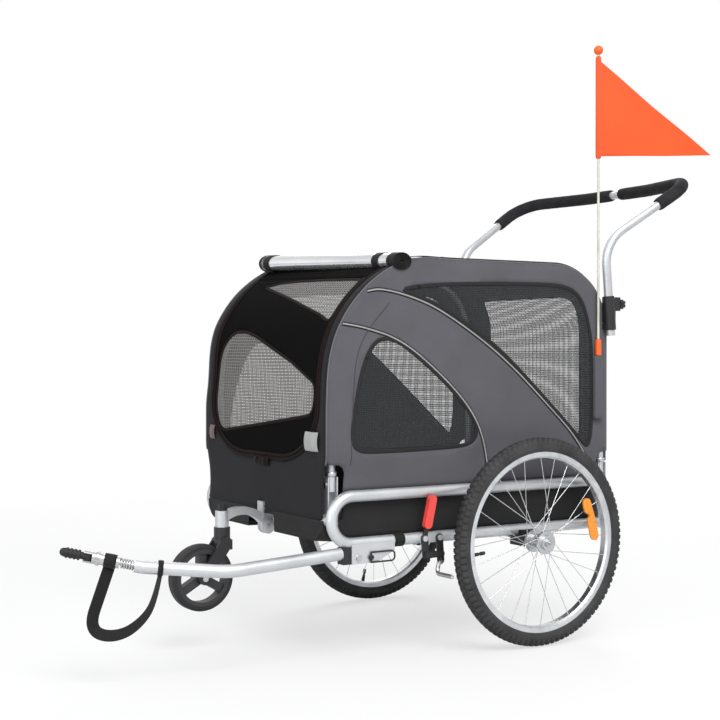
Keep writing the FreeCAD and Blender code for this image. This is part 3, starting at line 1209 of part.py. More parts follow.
def brake_grip(lever_body):
    """The coloured grip moulded over the lever's upper end."""
    _, strap, _ = brake_layers()
    lever, _, _, _ = brake_pins()
    rise = BRAKE_LEVER_TOP_Z - lever[1]
    low_share = (BRAKE_GRIP_LOW_Z - lever[1]) / rise
    low = (lever[0] + BRAKE_LEVER_LEAN * low_share, BRAKE_GRIP_LOW_Z)
    top = (lever[0] + BRAKE_LEVER_LEAN, BRAKE_LEVER_TOP_Z)
    span = (strap[0] - BRAKE_PLATE + GAP, strap[1] + BRAKE_GRIP_WALL)
    return strap_plate((low, top), BRAKE_GRIP_HALF, span).cut(lever_body)


def brake_link():
    """The link between the two feet, with its riveted pins."""
    _, strap, link = brake_layers()
    _, lever_foot, _, arm_foot = brake_pins()
    body = strap_plate((lever_foot, arm_foot), BRAKE_STRAP_HALF - BRAKE_PLATE / 2, link)
    for y, z in (lever_foot, arm_foot):
        body = body.fuse(x_rod((strap[0], link[0]), y, z, BRAKE_STUD_RADIUS))
        head = (link[1], link[1] + BRAKE_STUD_HEAD_THICK / 2)
        body = body.fuse(x_rod(head, y, z, BRAKE_STUD_HEAD - BRAKE_PLATE / 2))
    return body.removeSplitter()


def brake_arm():
    """The swinging arm and the bent rod that it presses against the tyre tread."""
    _, strap, _ = brake_layers()
    _, _, arm, foot = brake_pins()
    low = (foot[0], BRAKE_ARM_FOOT_Z)
    body = strap_plate((arm, low), BRAKE_STRAP_HALF, strap)
    body = body.cut(x_rod((0, TRACK_HALF), *arm, BRAKE_STUD_RADIUS + RUN))
    body = body.cut(x_rod((0, TRACK_HALF), *foot, BRAKE_STUD_RADIUS + RUN))
    rod_x = strap[0]
    points = [vec(rod_x, foot[0], BRAKE_ROD_TOP_Z), vec(rod_x, BRAKE_ROD_Y, BRAKE_ROD_Z),
              vec(TRACK_HALF + BRAKE_ROD_PAST, BRAKE_ROD_Y, BRAKE_ROD_Z)]
    bar = round_sweep(rounded_wire(points, (BRAKE_ROD_BEND,)), BRAKE_ROD_RADIUS)
    return body.fuse(bar).removeSplitter()


def handle_points():
    """The handlebar's corners from the left foot over the bow to the right foot."""
    foot = vec(HANDLE_X, HANDLE_FOOT_Y, HANDLE_FOOT_Z)
    elbow = vec(HANDLE_X, HANDLE_ELBOW_Y, HANDLE_FOOT_Z + HANDLE_ELBOW_RISE)
    corner = vec(HANDLE_X + HANDLE_CORNER_OUT, HANDLE_CORNER_Y, HANDLE_FOOT_Z + HANDLE_CORNER_RISE)
    left = [foot, elbow, corner, vec(HANDLE_BOW_X, HANDLE_BOW_Y, HANDLE_FOOT_Z + HANDLE_BOW_RISE)]
    right = [vec(-point.x, point.y, point.z) for point in reversed(left)]
    return left + right


def handle_lean():
    """The direction in which the handle legs slide in their clamps."""
    points = handle_points()
    return (points[1] - points[0]).normalize()


def handlebar():
    """One bent tube from clamp to clamp."""
    left = (HANDLE_ELBOW_RADIUS, HANDLE_CORNER_RADIUS, HANDLE_BOW_RADIUS)
    return bent_tube(handle_points(), left + left[::-1], HANDLE_RADIUS, HANDLE_WALL)


def handle_grips():
    """Two foam grips round the corners, with bare tube between them."""
    points = handle_points()
    start = points[1] + (points[2] - points[1]) * GRIP_LEG_SHARE
    middle = vec(GRIP_MIDDLE_GAP, points[3].y, points[3].z)
    wire = rounded_wire([start, points[2], points[3], middle], (HANDLE_CORNER_RADIUS, HANDLE_BOW_RADIUS))
    grip = round_sweep(wire, GRIP_RADIUS).cut(round_sweep(wire, HANDLE_RADIUS + RUN))
    return both_sides(grip)


def clamp_bolt_heights():
    """Heights of the bolts between a handle clamp and its hoop."""
    return [CLAMP_LOW_Z + (CLAMP_TOP_Z - CLAMP_LOW_Z) * share for share in CLAMP_BOLT_SHARES]


def leg_at(z):
    """The centre of the left handle leg at a height."""
    foot, lean = handle_points()[0], handle_lean()
    return foot + lean * ((z - foot.z) / lean.z)


def handle_clamp():
    """A split sleeve on the leg, a pad against the side fabric and an ear for the knob."""
    low, top, lean = leg_at(CLAMP_LOW_Z), leg_at(CLAMP_TOP_Z), handle_lean()
    sleeve = rod(low, top, CLAMP_RADIUS)
    pad = box((SIDE_HALF + GAP, HANDLE_X), (HOOP_REAR_Y - CLAMP_BOLT_DEPTH, HOOP_REAR_Y + CLAMP_PAD_WIDTH),
              (low.z + CLAMP_BOLT_DEPTH, top.z - CLAMP_BOLT_DEPTH))
    ear_top = leg_at(CLAMP_TOP_Z - CLAMP_BOLT_DEPTH)
    ear_end = low.y + CLAMP_RADIUS + CLAMP_EAR
    ear = box((HANDLE_X - CLAMP_EAR_HALF, HANDLE_X + CLAMP_EAR_HALF), (low.y, ear_end),
              (ear_top.z - CLAMP_EAR_HEIGHT, ear_top.z))
    bore = rod(low - lean * OVERRUN, top + lean * OVERRUN, HANDLE_RADIUS + RUN)
    clamp = sleeve.fuse(pad).fuse(ear).cut(bore)
    for z in clamp_bolt_heights():
        clamp = clamp.cut(x_rod((0, SIDE_HALF + GAP + CLAMP_BOLT_DEPTH), HOOP_REAR_Y, z, CLAMP_BOLT_RADIUS))
    stem_z = ear_top.z - CLAMP_EAR_HEIGHT / 2
    face = vec(HANDLE_X, ear_end, stem_z)
    hole = rod(face - vec(0, KNOB_STEM + GAP, 0), face + vec(0, OVERRUN, 0), KNOB_STEM_RADIUS + RUN)
    clamp = clamp.cut(hole)
    return max(clamp.removeSplitter().Solids, key=lambda solid: solid.Volume)


def clamp_knob():
    """The hand knob that tightens a handle clamp."""
    ear_top = leg_at(CLAMP_TOP_Z - CLAMP_BOLT_DEPTH)
    face = vec(HANDLE_X, leg_at(CLAMP_LOW_Z).y + CLAMP_RADIUS + CLAMP_EAR, ear_top.z - CLAMP_EAR_HEIGHT / 2)
    base = face + vec(0, GAP, 0)
    knob = lobed_knob(base, vec(0, 1, 0), KNOB_RADIUS, KNOB_LENGTH, KNOB_LOBES, KNOB_NOTCH)
    return knob.fuse(rod(face - vec(0, KNOB_STEM, 0), base, KNOB_STEM_RADIUS))


def clamp_bolts():
    """Bolts that hold each clamp to its hoop through the side fabric."""
    ends = (HOOP_X + HOOP_RADIUS, SIDE_HALF + GAP + CLAMP_BOLT_DEPTH)
    bolts = [x_rod(ends, HOOP_REAR_Y, z, CLAMP_BOLT_RADIUS) for z in clamp_bolt_heights()]
    return Part.makeCompound(bolts + [mirrored(bolt) for bolt in bolts])


def flag_pocket():
    """A stitched pocket on the side panel that takes the foot of the pole."""
    body = box((SIDE_HALF, SIDE_HALF + POCKET_DEPTH), (FLAG_Y - POCKET_HALF, FLAG_Y + POCKET_HALF),
               (POCKET_LOW_Z, POCKET_TOP_Z))
    foot, top = vec(FLAG_X, FLAG_Y, FLAG_FOOT_Z - GAP), vec(FLAG_X, FLAG_Y, POCKET_TOP_Z + OVERRUN)
    return body.cut(rod(foot, top, FLAG_POLE_RADIUS + RUN))


def flag_pole():
    """The fibreglass pole with its tip ball and a ferrule above the pocket."""
    foot, top = vec(FLAG_X, FLAG_Y, FLAG_FOOT_Z), vec(FLAG_X, FLAG_Y, FLAG_TOP_Z)
    pole = rod(foot, top, FLAG_POLE_RADIUS)
    ferrule = rod(vec(FLAG_X, FLAG_Y, FLAG_FERRULE_LOW_Z), vec(FLAG_X, FLAG_Y, FLAG_FERRULE_TOP_Z),
                  FLAG_FERRULE_RADIUS)
    ball = Part.makeSphere(FLAG_BALL_RADIUS, top)
    return pole.fuse(ferrule).fuse(ball).removeSplitter()


def flag():
    """The pennant: a sleeve on the pole and a right-angled triangle."""
    low, high = vec(FLAG_X, FLAG_Y, FLAG_LOW_Z), vec(FLAG_X, FLAG_Y, FLAG_HIGH_Z)
    yaw = math.radians(FLAG_YAW_DEG)
    out = vec(math.sin(yaw), math.cos(yaw), 0)
    across = vec(out.y, -out.x, 0) * (FLAG_THICK / 2)
    tip = low + out * FLAG_LENGTH
    cloth = polygon([low - across, tip - across, high - across]).extrude(across * 2)
    sleeve = rod(low, high, FLAG_SLEEVE_RADIUS)
    return cloth.fuse(sleeve).cut(rod(low, high, FLAG_POLE_RADIUS)).removeSplitter()


def frame_nodes():
    """Rails, cross tubes, hinges and hoops."""
    rails = solid_rails()
    nodes = pair("side_rail", side_rail())
    nodes["cross_tubes"] = cross_tubes(rails)
    nodes["axle_brackets"] = both_sides(axle_bracket(rails))
    nodes["hinge_brackets"] = hinge_brackets(rails)
    nodes["frame_fasteners"] = Part.makeCompound([hinge_pins(), clamp_bolts()])
    nodes.update(pair("hoop", hoop()))
    return nodes


def wheel_nodes():
    """Both rear wheels and their axles."""
    nodes = {"wheel_axles": both_sides(wheel_axle())}
    for name, shape in (("tyre", tyre()), ("rim", rim()), ("spokes", spokes()), ("hub", hub()),
                        ("axle_button", axle_button())):
        nodes.update(pair(name, shape))
    return nodes


def cabin_nodes():
    """The fabric cabin and its floor."""
    nodes = cover_panels()
    nodes.update(pair("side_panel", side_panel()))
    nodes["lower_tub"] = lower_tub()
    nodes["floor_board"] = floor_board()
    nodes["floor_mat"] = floor_mat()
    nodes["rolled_cover"] = rolled_cover()
    return nodes


def tow_nodes():
    """The tow arm, its lock, the hitch and the safety strap."""
    return {"tow_bracket": tow_bracket(solid_rails()), "tow_plug": tow_plug(), "tow_arm": tow_arm(),
            "tow_bolt": tow_bolt(), "tow_lock_pin": tow_lock_pin(), "hitch_spring": hitch_spring(),
            "hitch_sleeve": hitch_sleeve(), "hitch_clevis": hitch_clevis(), "hitch_coupler": hitch_coupler(),
            "safety_strap": safety_strap()}


def caster_nodes():
    """The front caster."""
    return {"caster_clamp": caster_clamp(), "caster_arm": caster_arm(),
            "caster_pivot_pin": caster_pivot_pin(), "caster_lock_clip": caster_lock_clip(),
            "caster_knob": caster_knob(), "caster_fork": caster_fork(), "caster_wheel": caster_wheel(),
            "caster_tyre": caster_tyre(), "caster_axle": caster_axle()}


def brake_nodes():
    """The parking brake."""
    lever = brake_lever()
    return {"brake_bracket": brake_bracket(), "brake_lever": lever, "brake_grip": brake_grip(lever),
            "brake_link": brake_link(), "brake_arm": brake_arm()}


def handle_nodes():
    """The push handle and its clamps."""
    nodes = {"handlebar": handlebar(), "handle_grips": handle_grips(),
             "handle_clamps": both_sides(handle_clamp())}
    nodes.update(pair("clamp_knob", clamp_knob()))
    return nodes


def flag_nodes():
    """The safety flag."""
    return {"flag_pocket": flag_pocket(), "flag_pole": flag_pole(), "flag": flag()}


def main():
    """Build every node, centre the part along Y and write one file per node."""
    os.makedirs("parts", exist_ok=True)
    nodes = {}
    for group in (frame_nodes, wheel_nodes, cabin_nodes, tow_nodes, caster_nodes, brake_nodes, handle_nodes,
                  flag_nodes):
        nodes.update(group())
    front, rear = (nodes[name].optimalBoundingBox(False) for name in ("hitch_coupler", "handle_grips"))
    middle = (front.YMin + rear.YMax) / 2
    print("axle at y", round(-middle, 4))
    for name, shape in nodes.items():
        placed = shape.translated(vec(0, -middle, 0))
        placed.exportStep("parts/" + name + ".step")
        print(name, len(shape.Solids), shape.isValid(), round(shape.Volume / 1000, 2))


main()
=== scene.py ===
"""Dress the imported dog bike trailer: cloth cover, nets, tyres, strap, flag, grips and finishes.

Lengths in the tables are millimetres with Y counted from the wheel axle, and metres() puts them in the frame.
"""
import math

import bmesh
import bpy
import numpy as np
from bpy.props import FloatProperty, FloatVectorProperty, PointerProperty
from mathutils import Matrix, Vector
from mathutils.geometry import delaunay_2d_cdt


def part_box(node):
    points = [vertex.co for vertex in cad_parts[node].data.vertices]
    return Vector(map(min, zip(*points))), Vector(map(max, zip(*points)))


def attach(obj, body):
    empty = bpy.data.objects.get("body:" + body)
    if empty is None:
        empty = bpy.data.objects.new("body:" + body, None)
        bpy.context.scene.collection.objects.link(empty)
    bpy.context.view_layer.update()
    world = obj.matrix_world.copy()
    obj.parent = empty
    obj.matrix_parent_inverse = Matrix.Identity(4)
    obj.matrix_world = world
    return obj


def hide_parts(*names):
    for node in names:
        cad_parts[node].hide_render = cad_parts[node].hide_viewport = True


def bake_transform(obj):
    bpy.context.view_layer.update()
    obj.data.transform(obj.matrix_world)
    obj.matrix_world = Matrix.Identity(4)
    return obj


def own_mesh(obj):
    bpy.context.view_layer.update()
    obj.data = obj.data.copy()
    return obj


bl_info = {
    "name": "Dog bike trailer dressing",
    "version": (1, 0, 0),
    "blender": (4, 5, 0),
    "location": "View3D > Sidebar > Trailer",
    "description": "Cloth, rubber and finishes over the packed dog bike trailer",
    "category": "Object",
}

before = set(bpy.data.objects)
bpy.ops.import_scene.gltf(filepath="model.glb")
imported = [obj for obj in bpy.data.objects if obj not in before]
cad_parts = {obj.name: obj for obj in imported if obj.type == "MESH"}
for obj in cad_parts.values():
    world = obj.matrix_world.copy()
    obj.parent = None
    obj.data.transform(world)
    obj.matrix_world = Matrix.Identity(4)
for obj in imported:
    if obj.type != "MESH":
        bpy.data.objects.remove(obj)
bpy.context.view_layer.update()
AXLE_Y = sum(corner.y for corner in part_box("left_hub")) / 2
MM = 0.001

# Cabin outline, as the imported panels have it
CABIN_HALF = 286.7
FRONT_Y, REAR_Y, TOP_Z = -531.0, 276.0, 905.0
NOSE_Y, NOSE_Z, SWELL_Z = -546.3, 320.0, 430.0
FRONT_ARC, REAR_ARC = 293.0, 165.0
BELLY, BELLY_FROM, BELLY_RISE, BELLY_END, BELLY_FALL = 14.0, 330.0, 120.0, 730.0, 190.0
FLARE, FLARE_FROM, FLARE_RISE, FLARE_END, FLARE_FALL, FLARE_REACH = 14.0, 396.0, 70.0, 740.0, 200.0, 260.0
FULL_MEAN, FULL_TILT, FULL_FROM, FULL_RISE, FULL_END, FULL_FALL = 17.0, 11.0, 600.0, 150.0, -190.0, 150.0
DOOR_HALF, DOOR_LOW, DOOR_TOP, BROW_TOP = 251.0, 447.0, 852.0, 886.0
DOOR_CORNER_WIDE, DOOR_CORNER_TALL = 165.0, 125.0
BEND_START, BEND_END = (0.0, -413.1, 847.1), (0.0, -463.8, 811.4)
HINGE_FRONT_Y, HINGE_REAR_Y, HINGE_Z, HINGE_ARCH = -519.2, 264.2, 418.0, 25.0
SIDE_FOOT_Z, REAR_FOOT_HALF, BROW_GAP = 380.0, 263.4, 0.3
SWELL_REACH, SIDE_GAP = 160.0, 1.7
SIDES = (("left", 1), ("right", -1))

# Cloth making: steps, mesh sizes and depths in millimetres, and the walls of tapes in metres
PROFILE_STEP, TAPE_STEP, CORNER_STEP = 4.0, 8.0, 26.0
CLOTH_GRID, NET_GRID, NET_SINK = 14.0, 20.0, 0.9
TAPE_WALL, BINDING_WALL = 0.0009, 0.0012


def linear(code):
    """Linear light from an sRGB hex value."""
    parts = np.array([int(code[i:i + 2], 16) for i in (1, 3, 5)]) / 255
    light = np.where(parts <= 0.04045, parts / 12.92, ((parts + 0.055) / 1.055) ** 2.4)
    return tuple(float(value) for value in light)


def metres(points):
    """Millimetres from the axle to metres in the frame."""
    return np.asarray(points, float) * MM + np.array([0.0, AXLE_Y, 0.0])


# Sizes and colours that a user may change

class CoverSettings(bpy.types.PropertyGroup):
    """Shape and colours of the cloth cover."""
    roof_crown: FloatProperty(name="Roof crown", description="How far the roof cloth stands above its hoops",
                              default=0.014, unit="LENGTH")
    side_swell: FloatProperty(name="Side swell", description="How far the side cloth bellies outwards",
                              default=0.006, unit="LENGTH")
    cloth: FloatProperty(name="Cloth", description="Thickness of the cover cloth",
                         default=0.0016, unit="LENGTH")
    weave: FloatProperty(name="Weave", default=0.0028, unit="LENGTH",
                         description="Thread spacing of the cover cloth, drawn coarse enough to show")
    net_cell: FloatProperty(name="Net cell", default=0.0042, unit="LENGTH",
                            description="Cell of the window net, drawn coarse enough to show")
    side_colour: FloatVectorProperty(name="Side colour", description="Colour of the sides and roof",
                                     default=linear("#545358"), subtype="COLOR")
    # The front colour is darker than the sides to paint the shade that falls on the front: painted shade.
    front_shade_colour: FloatVectorProperty(name="Front colour", description="Colour of the front panel",
                                      default=linear("#212123"), subtype="COLOR")


class RunningGearSettings(bpy.types.PropertyGroup):
    """Tyres and wheel trim."""
    tread_depth: FloatProperty(name="Tread depth", default=0.0032, unit="LENGTH",
                               description="Depth of the grooves between the tread blocks")
    reflector_length: FloatProperty(name="Reflector length", description="Length of a spoke reflector",
                                    default=0.105, unit="LENGTH")


class FlagSettings(bpy.types.PropertyGroup):
    """The pennant."""
    ripple: FloatProperty(name="Ripple", description="Height of the waves in the pennant", default=0.0035,
                          unit="LENGTH")
    colour: FloatVectorProperty(name="Flag colour", description="Colour of the pennant",
                                default=linear("#ef5019"), subtype="COLOR")


class StageSettings(bpy.types.PropertyGroup):
    """Camera and light."""
    lens: FloatProperty(name="Lens", description="Focal length of the camera in millimetres", default=67.55)
    key_power: FloatProperty(name="Key light", description="Power of the main lamp in watts", default=150.0)


# Meshes

def box_of(part):
    """The low corner, high corner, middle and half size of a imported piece."""
    low, high = (np.array(corner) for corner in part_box(part))
    return low, high, (low + high) / 2, (high - low) / 2


def piece(name, points, faces, uv, body, material, slot, stands_for=()):
    """A smooth mesh from point, face and per-point UV arrays, welded where rows or columns meet, on a body.

    A piece for the door hinge keeps its place in the frame and is put on no body.
    """
    mesh = bpy.data.meshes.new(name)
    mesh.from_pydata(np.asarray(points).tolist(), [], [list(map(int, face)) for face in faces])
    corner = np.empty(len(mesh.loops), dtype=np.int32)
    mesh.loops.foreach_get("vertex_index", corner)
    layer = mesh.uv_layers.new(name="UVMap")
    layer.data.foreach_set("uv", np.asarray(uv, np.float32)[corner].ravel())
    work = bmesh.new()
    work.from_mesh(mesh)
    bmesh.ops.remove_doubles(work, verts=work.verts, dist=1e-6)
    bmesh.ops.dissolve_degenerate(work, edges=work.edges, dist=1e-7)
    work.to_mesh(mesh)
    work.free()
    mesh.shade_smooth()
    mesh.materials.append(material)
    made = bpy.data.objects.new(name, mesh)
    bpy.context.scene.collection.objects.link(made)
    if body == "door hinge":
        metres(BEND_START)
        metres(BEND_END)
        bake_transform(made)
    else:
        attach(made, body)
    if stands_for:
        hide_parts(*stands_for)
    return made


def arc_shares(points):
    """Distances along a row of points, from zero."""
    steps = np.linalg.norm(np.diff(points, axis=0), axis=1)
    return np.concatenate([[0.0], np.cumsum(steps)])


def grid(points):
    """Quads over a rows by columns array, with UV in metres along the middle row and column."""
    rows, columns = points.shape[:2]
    index = np.arange(rows * columns).reshape(rows, columns)
    faces = np.stack([index[:-1, :-1], index[:-1, 1:], index[1:, 1:], index[1:, :-1]], axis=-1).reshape(-1, 4)
    across = arc_shares(points[rows // 2])
    along = arc_shares(points[:, columns // 2])
    uv = np.stack(np.meshgrid(across, along), axis=-1).reshape(-1, 2)
    return points.reshape(-1, 3), faces, uv


def tangents(line):
    """Unit directions along a row of points."""
    tangent = np.gradient(line, axis=0)
    return tangent / np.linalg.norm(tangent, axis=1, keepdims=True)


def frames(path):
    """Two side directions at each point of a path, the first one level with the ground."""
    tangent = tangents(path)
    level = np.cross(tangent, [0.0, 0.0, 1.0])
    length = np.linalg.norm(level, axis=1, keepdims=True)
    level = np.where(length > 0.05, level / np.maximum(length, 1e-9), [1.0, 0.0, 0.0])
    return level, np.cross(level, tangent)


def swept(path, radius, sides=16, section=None, roll=None):
    """A closed section carried along a path: path + radius * (level * cos + upright * sin)."""
    level, upright = frames(path) if roll is None else roll
    angle = np.linspace(0, 2 * math.pi, sides + 1)
    ring = np.stack([np.cos(angle), np.sin(angle)], axis=1) if section is None else section
    radius = np.broadcast_to(np.asarray(radius, float), (len(path),))[:, None, None]
    offset = level[:, None, :] * ring[None, :, :1] + upright[:, None, :] * ring[None, :, 1:]
    return path[:, None, :] + radius * offset


def capped(points):
    """The same rows with both ends drawn to their middles, so the form is closed."""
    first = np.repeat(points[:1].mean(axis=1, keepdims=True), points.shape[1], axis=1)
    last = np.repeat(points[-1:].mean(axis=1, keepdims=True), points.shape[1], axis=1)
    return np.concatenate([first, points, last])


def turned(profile, centre, axis, sides=48):
    """A profile of (distance along, radius) pairs turned about an axis through a point."""
    axis = np.asarray(axis, float) / np.linalg.norm(axis)
    side = np.cross(axis, [0.0, 0.0, 1.0] if abs(axis[2]) < 0.9 else [1.0, 0.0, 0.0])
    side /= np.linalg.norm(side)
    other = np.cross(axis, side)
    angle = np.linspace(0, 2 * math.pi, sides + 1)
    round_ = np.cos(angle)[:, None] * side + np.sin(angle)[:, None] * other
    profile = np.asarray(profile, float)
    return np.asarray(centre) + profile[:, None, :1] * axis + profile[:, None, 1:] * round_[None]


def resampled(line, spacing, closed):
    """Points at an even spacing along a line or loop."""
    line = np.asarray(line, float)
    line = np.concatenate([line, line[:1]]) if closed else line
    at = arc_shares(line)
    count = max(int(round(at[-1] / spacing)), 4)
    share = np.linspace(0, at[-1], count + 1)
    even = np.stack([np.interp(share, at, line[:, k]) for k in range(line.shape[1])], axis=1)
    return even[:-1] if closed else even


def eased(line, rounds, closed):
    """Corner cutting: each side keeps its quarter and three-quarter points, an open line its ends too."""
    line = np.asarray(line, float)
    for _ in range(rounds):
        after = np.roll(line, -1, axis=0)
        if not closed:
            line, after, ends = line[:-1], after[:-1], (line[:1], line[-1:])
        cut = np.stack([0.75 * line + 0.25 * after, 0.25 * line + 0.75 * after], axis=1)
        cut = cut.reshape(-1, line.shape[1])
        line = cut if closed else np.concatenate([ends[0], cut, ends[1]])
    return line


def inside(points, loop):
    """Even-odd test of points against a loop, for all points and sides at once."""
    x, y = points[:, :1], points[:, 1:]
    x0, y0 = loop[:, 0], loop[:, 1]
    x1, y1 = np.roll(x0, -1), np.roll(y0, -1)
    spans = (y0 > y) != (y1 > y)
    rise = np.where(y1 == y0, 1e-12, y1 - y0)
    return (spans & (x < (x1 - x0) * (y - y0) / rise + x0)).sum(axis=1) % 2 == 1


def cloth_region(loop, holes, spacing):
    """Flat cloth as triangles: points on a loop, on its holes and on a grid between them."""
    rings = [resampled(ring, spacing, True) for ring in [loop, *holes]]
    edge = np.concatenate(rings)
    low, high = edge.min(axis=0), edge.max(axis=0)
    across, along = (np.arange(low[k], high[k], spacing) for k in (0, 1))
    field = np.stack(np.meshgrid(across, along), axis=-1).reshape(-1, 2)
    keep = inside(field, rings[0])
    for ring in rings[1:]:
        keep &= ~inside(field, ring)
    field = field[keep]
    near = np.concatenate([np.linalg.norm(part[:, None] - edge[None], axis=2).min(axis=1)
                           for part in np.array_split(field, max(len(field) // 500, 1))])
    field = field[near > 0.6 * spacing]
    starts = np.cumsum([0] + [len(ring) for ring in rings[:-1]])
    sides = [(int(start + i), int(start + (i + 1) % len(ring))) for start, ring in zip(starts, rings)
             for i in range(len(ring))]
    flat = [Vector(p) for p in np.concatenate([edge, field]).tolist()]
    made = delaunay_2d_cdt(flat, sides, [], 0, 1e-5)
    points = np.array([tuple(p) for p in made[0]])
    faces = np.array([face for face in made[2] if len(face) == 3])
    middle = points[faces].mean(axis=1)
    keep = inside(middle, rings[0])
    for ring in rings[1:]:
        keep &= ~inside(middle, ring)
    return points, faces[keep]


def facing(points, faces, outward):
    """Faces turned so that they look along an outward direction."""
    a, b, c = (points[faces[:, k]] for k in range(3))
    wrong = (np.cross(b - a, c - a) * outward).sum(axis=1) < 0
    return np.where(wrong[:, None], faces[:, ::-1], faces)


def thicken(made, thickness, offset=-1.0):
    """A live wall on a cloth piece."""
    wall = made.modifiers.new("wall", "SOLIDIFY")
    wall.thickness = thickness
    wall.offset = offset
    wall.use_even_offset = True
    return made


# Materials

def node(tree, kind, settings=None, links=None):
    """One node with its settings, socket values and incoming links."""
    made = tree.nodes.new(kind)
    for key, value in (settings or {}).items():
        if key in made.inputs:
            made.inputs[key].default_value = value
        else:
            setattr(made, key, value)
    for key, source in (links or {}).items():
        tree.links.new(source, made.inputs[key])
    return made


def finish_base(name, **sockets):
    """A material with its shader, object coordinates and the shader's constants set."""
    made = bpy.data.materials.new(name)
    made.use_nodes = True
    tree = made.node_tree
    shader = tree.nodes["Principled BSDF"]
    for key, value in sockets.items():
        key = key.replace("_", " ")
        shader.inputs[key].default_value = (*value, 1.0) if isinstance(value, tuple) else value
    where = node(tree, "ShaderNodeTexCoord")
    return made, tree, shader, where


def mottled(tree, shader, where, dark, light, grain_mm, coords="Object", spread=(0.35, 0.65)):
    """Colour that drifts between two values over patches of a given size."""
    noise = node(tree, "ShaderNodeTexNoise", {"Scale": 1000 / grain_mm / 2, "Detail": 4.0},
                 {"Vector": where.outputs[coords]})
    ramp = node(tree, "ShaderNodeValToRGB", None, {"Fac": noise.outputs["Fac"]})
    for element, place, colour in zip(ramp.color_ramp.elements, spread, (dark, light)):
        element.position = place
        element.color = (*colour, 1.0)
    tree.links.new(ramp.outputs["Color"], shader.inputs["Base Color"])
    return noise


def bumped(tree, shader, height, distance_mm, strength=0.6):
    """Relief on the shader's normal from a height."""
    relief = node(tree, "ShaderNodeBump", {"Distance": distance_mm * MM, "Strength": strength},
                  {"Height": height})
    tree.links.new(relief.outputs["Normal"], shader.inputs["Normal"])


def shade(colour, factor):
    """A lighter or darker copy of a colour."""
    return tuple(min(float(channel) * factor, 1.0) for channel in colour)


# Scale of a wave texture that has one band to a metre
BAND_SCALE = 0.314


def woven(name, colour, spacing, rough=0.85, sheen=0.12, gloss=0.25, coords="UV"):
    """Coated polyester: crossed threads that catch a soft sheen, with a faint drift of shade."""
    made, tree, shader, where = finish_base(name, Roughness=rough, Sheen_Weight=sheen,
                                            Specular_IOR_Level=gloss)
    mottled(tree, shader, where, shade(colour, 0.93), shade(colour, 1.06), 55, coords)
    waves = [node(tree, "ShaderNodeTexWave",
                  {"bands_direction": axis, "Scale": BAND_SCALE / spacing, "Distortion": 0.6},
                  {"Vector": where.outputs[coords]}) for axis in ("X", "Y")]
    both = node(tree, "ShaderNodeMath", {"operation": "MULTIPLY"})
    tree.links.new(waves[0].outputs["Fac"], both.inputs[0])
    tree.links.new(waves[1].outputs["Fac"], both.inputs[1])
    bumped(tree, shader, both.outputs[0], 0.35, 0.5)
    return made


def netting(name, colour, cells, open_to, closed_from, least):
    """Knitted polyester net: uneven threads round open cells, so light and the far side show through."""
    made, tree, shader, where = finish_base(name, Base_Color=colour, Roughness=0.8, Sheen_Weight=0.2)
    lines = []
    for axis, cell in zip("XY", cells):
        wave = node(tree, "ShaderNodeTexWave",
                    {"bands_direction": axis, "Scale": BAND_SCALE / cell, "Distortion": 0.9, "Detail": 2.0},
                    {"Vector": where.outputs["UV"]})
        lines.append(wave.outputs["Fac"])
    most = node(tree, "ShaderNodeMath", {"operation": "MAXIMUM"})
    tree.links.new(lines[0], most.inputs[0])
    tree.links.new(lines[1], most.inputs[1])
    thread = node(tree, "ShaderNodeMapRange",
                  {"From Min": open_to, "From Max": closed_from, "To Min": least, "To Max": 1.0},
                  {"Value": most.outputs[0]})
    tree.links.new(thread.outputs["Result"], shader.inputs["Alpha"])
    bumped(tree, shader, most.outputs[0], 0.4)
    return made


def powder_coat(name, colour, rough=0.38, metallic=0.65):
    """Silver powder coat on steel: an even satin with a fine orange peel."""
    made, tree, shader, where = finish_base(name, Metallic=metallic, Roughness=rough)
    noise = mottled(tree, shader, where, shade(colour, 0.93), shade(colour, 1.05), 40)
    fine = node(tree, "ShaderNodeTexNoise", {"Scale": 900.0, "Detail": 2.0},
                {"Vector": where.outputs["Object"]})
    bumped(tree, shader, fine.outputs["Fac"], 0.08, 0.35)
    wear = node(tree, "ShaderNodeMapRange", {"To Min": rough - 0.06, "To Max": rough + 0.1},
                {"Value": noise.outputs["Fac"]})
    tree.links.new(wear.outputs["Result"], shader.inputs["Roughness"])
    return made


def bare_metal(name, colour, rough=0.3, streak_mm=0.8):
    """Plated or turned metal: fine tool lines and small changes of gloss."""
    made, tree, shader, where = finish_base(name, Metallic=1.0, Roughness=rough)
    noise = mottled(tree, shader, where, shade(colour, 0.86), shade(colour, 1.06), 14)
    lines = node(tree, "ShaderNodeTexWave",
                 {"bands_direction": "X", "Scale": BAND_SCALE / (streak_mm * MM), "Distortion": 2.5},
                 {"Vector": where.outputs["Object"]})
    bumped(tree, shader, lines.outputs["Fac"], 0.02, 0.3)
    gloss = node(tree, "ShaderNodeMapRange", {"To Min": rough - 0.08, "To Max": rough + 0.12},
                 {"Value": noise.outputs["Fac"]})
    tree.links.new(gloss.outputs["Result"], shader.inputs["Roughness"])
    return made


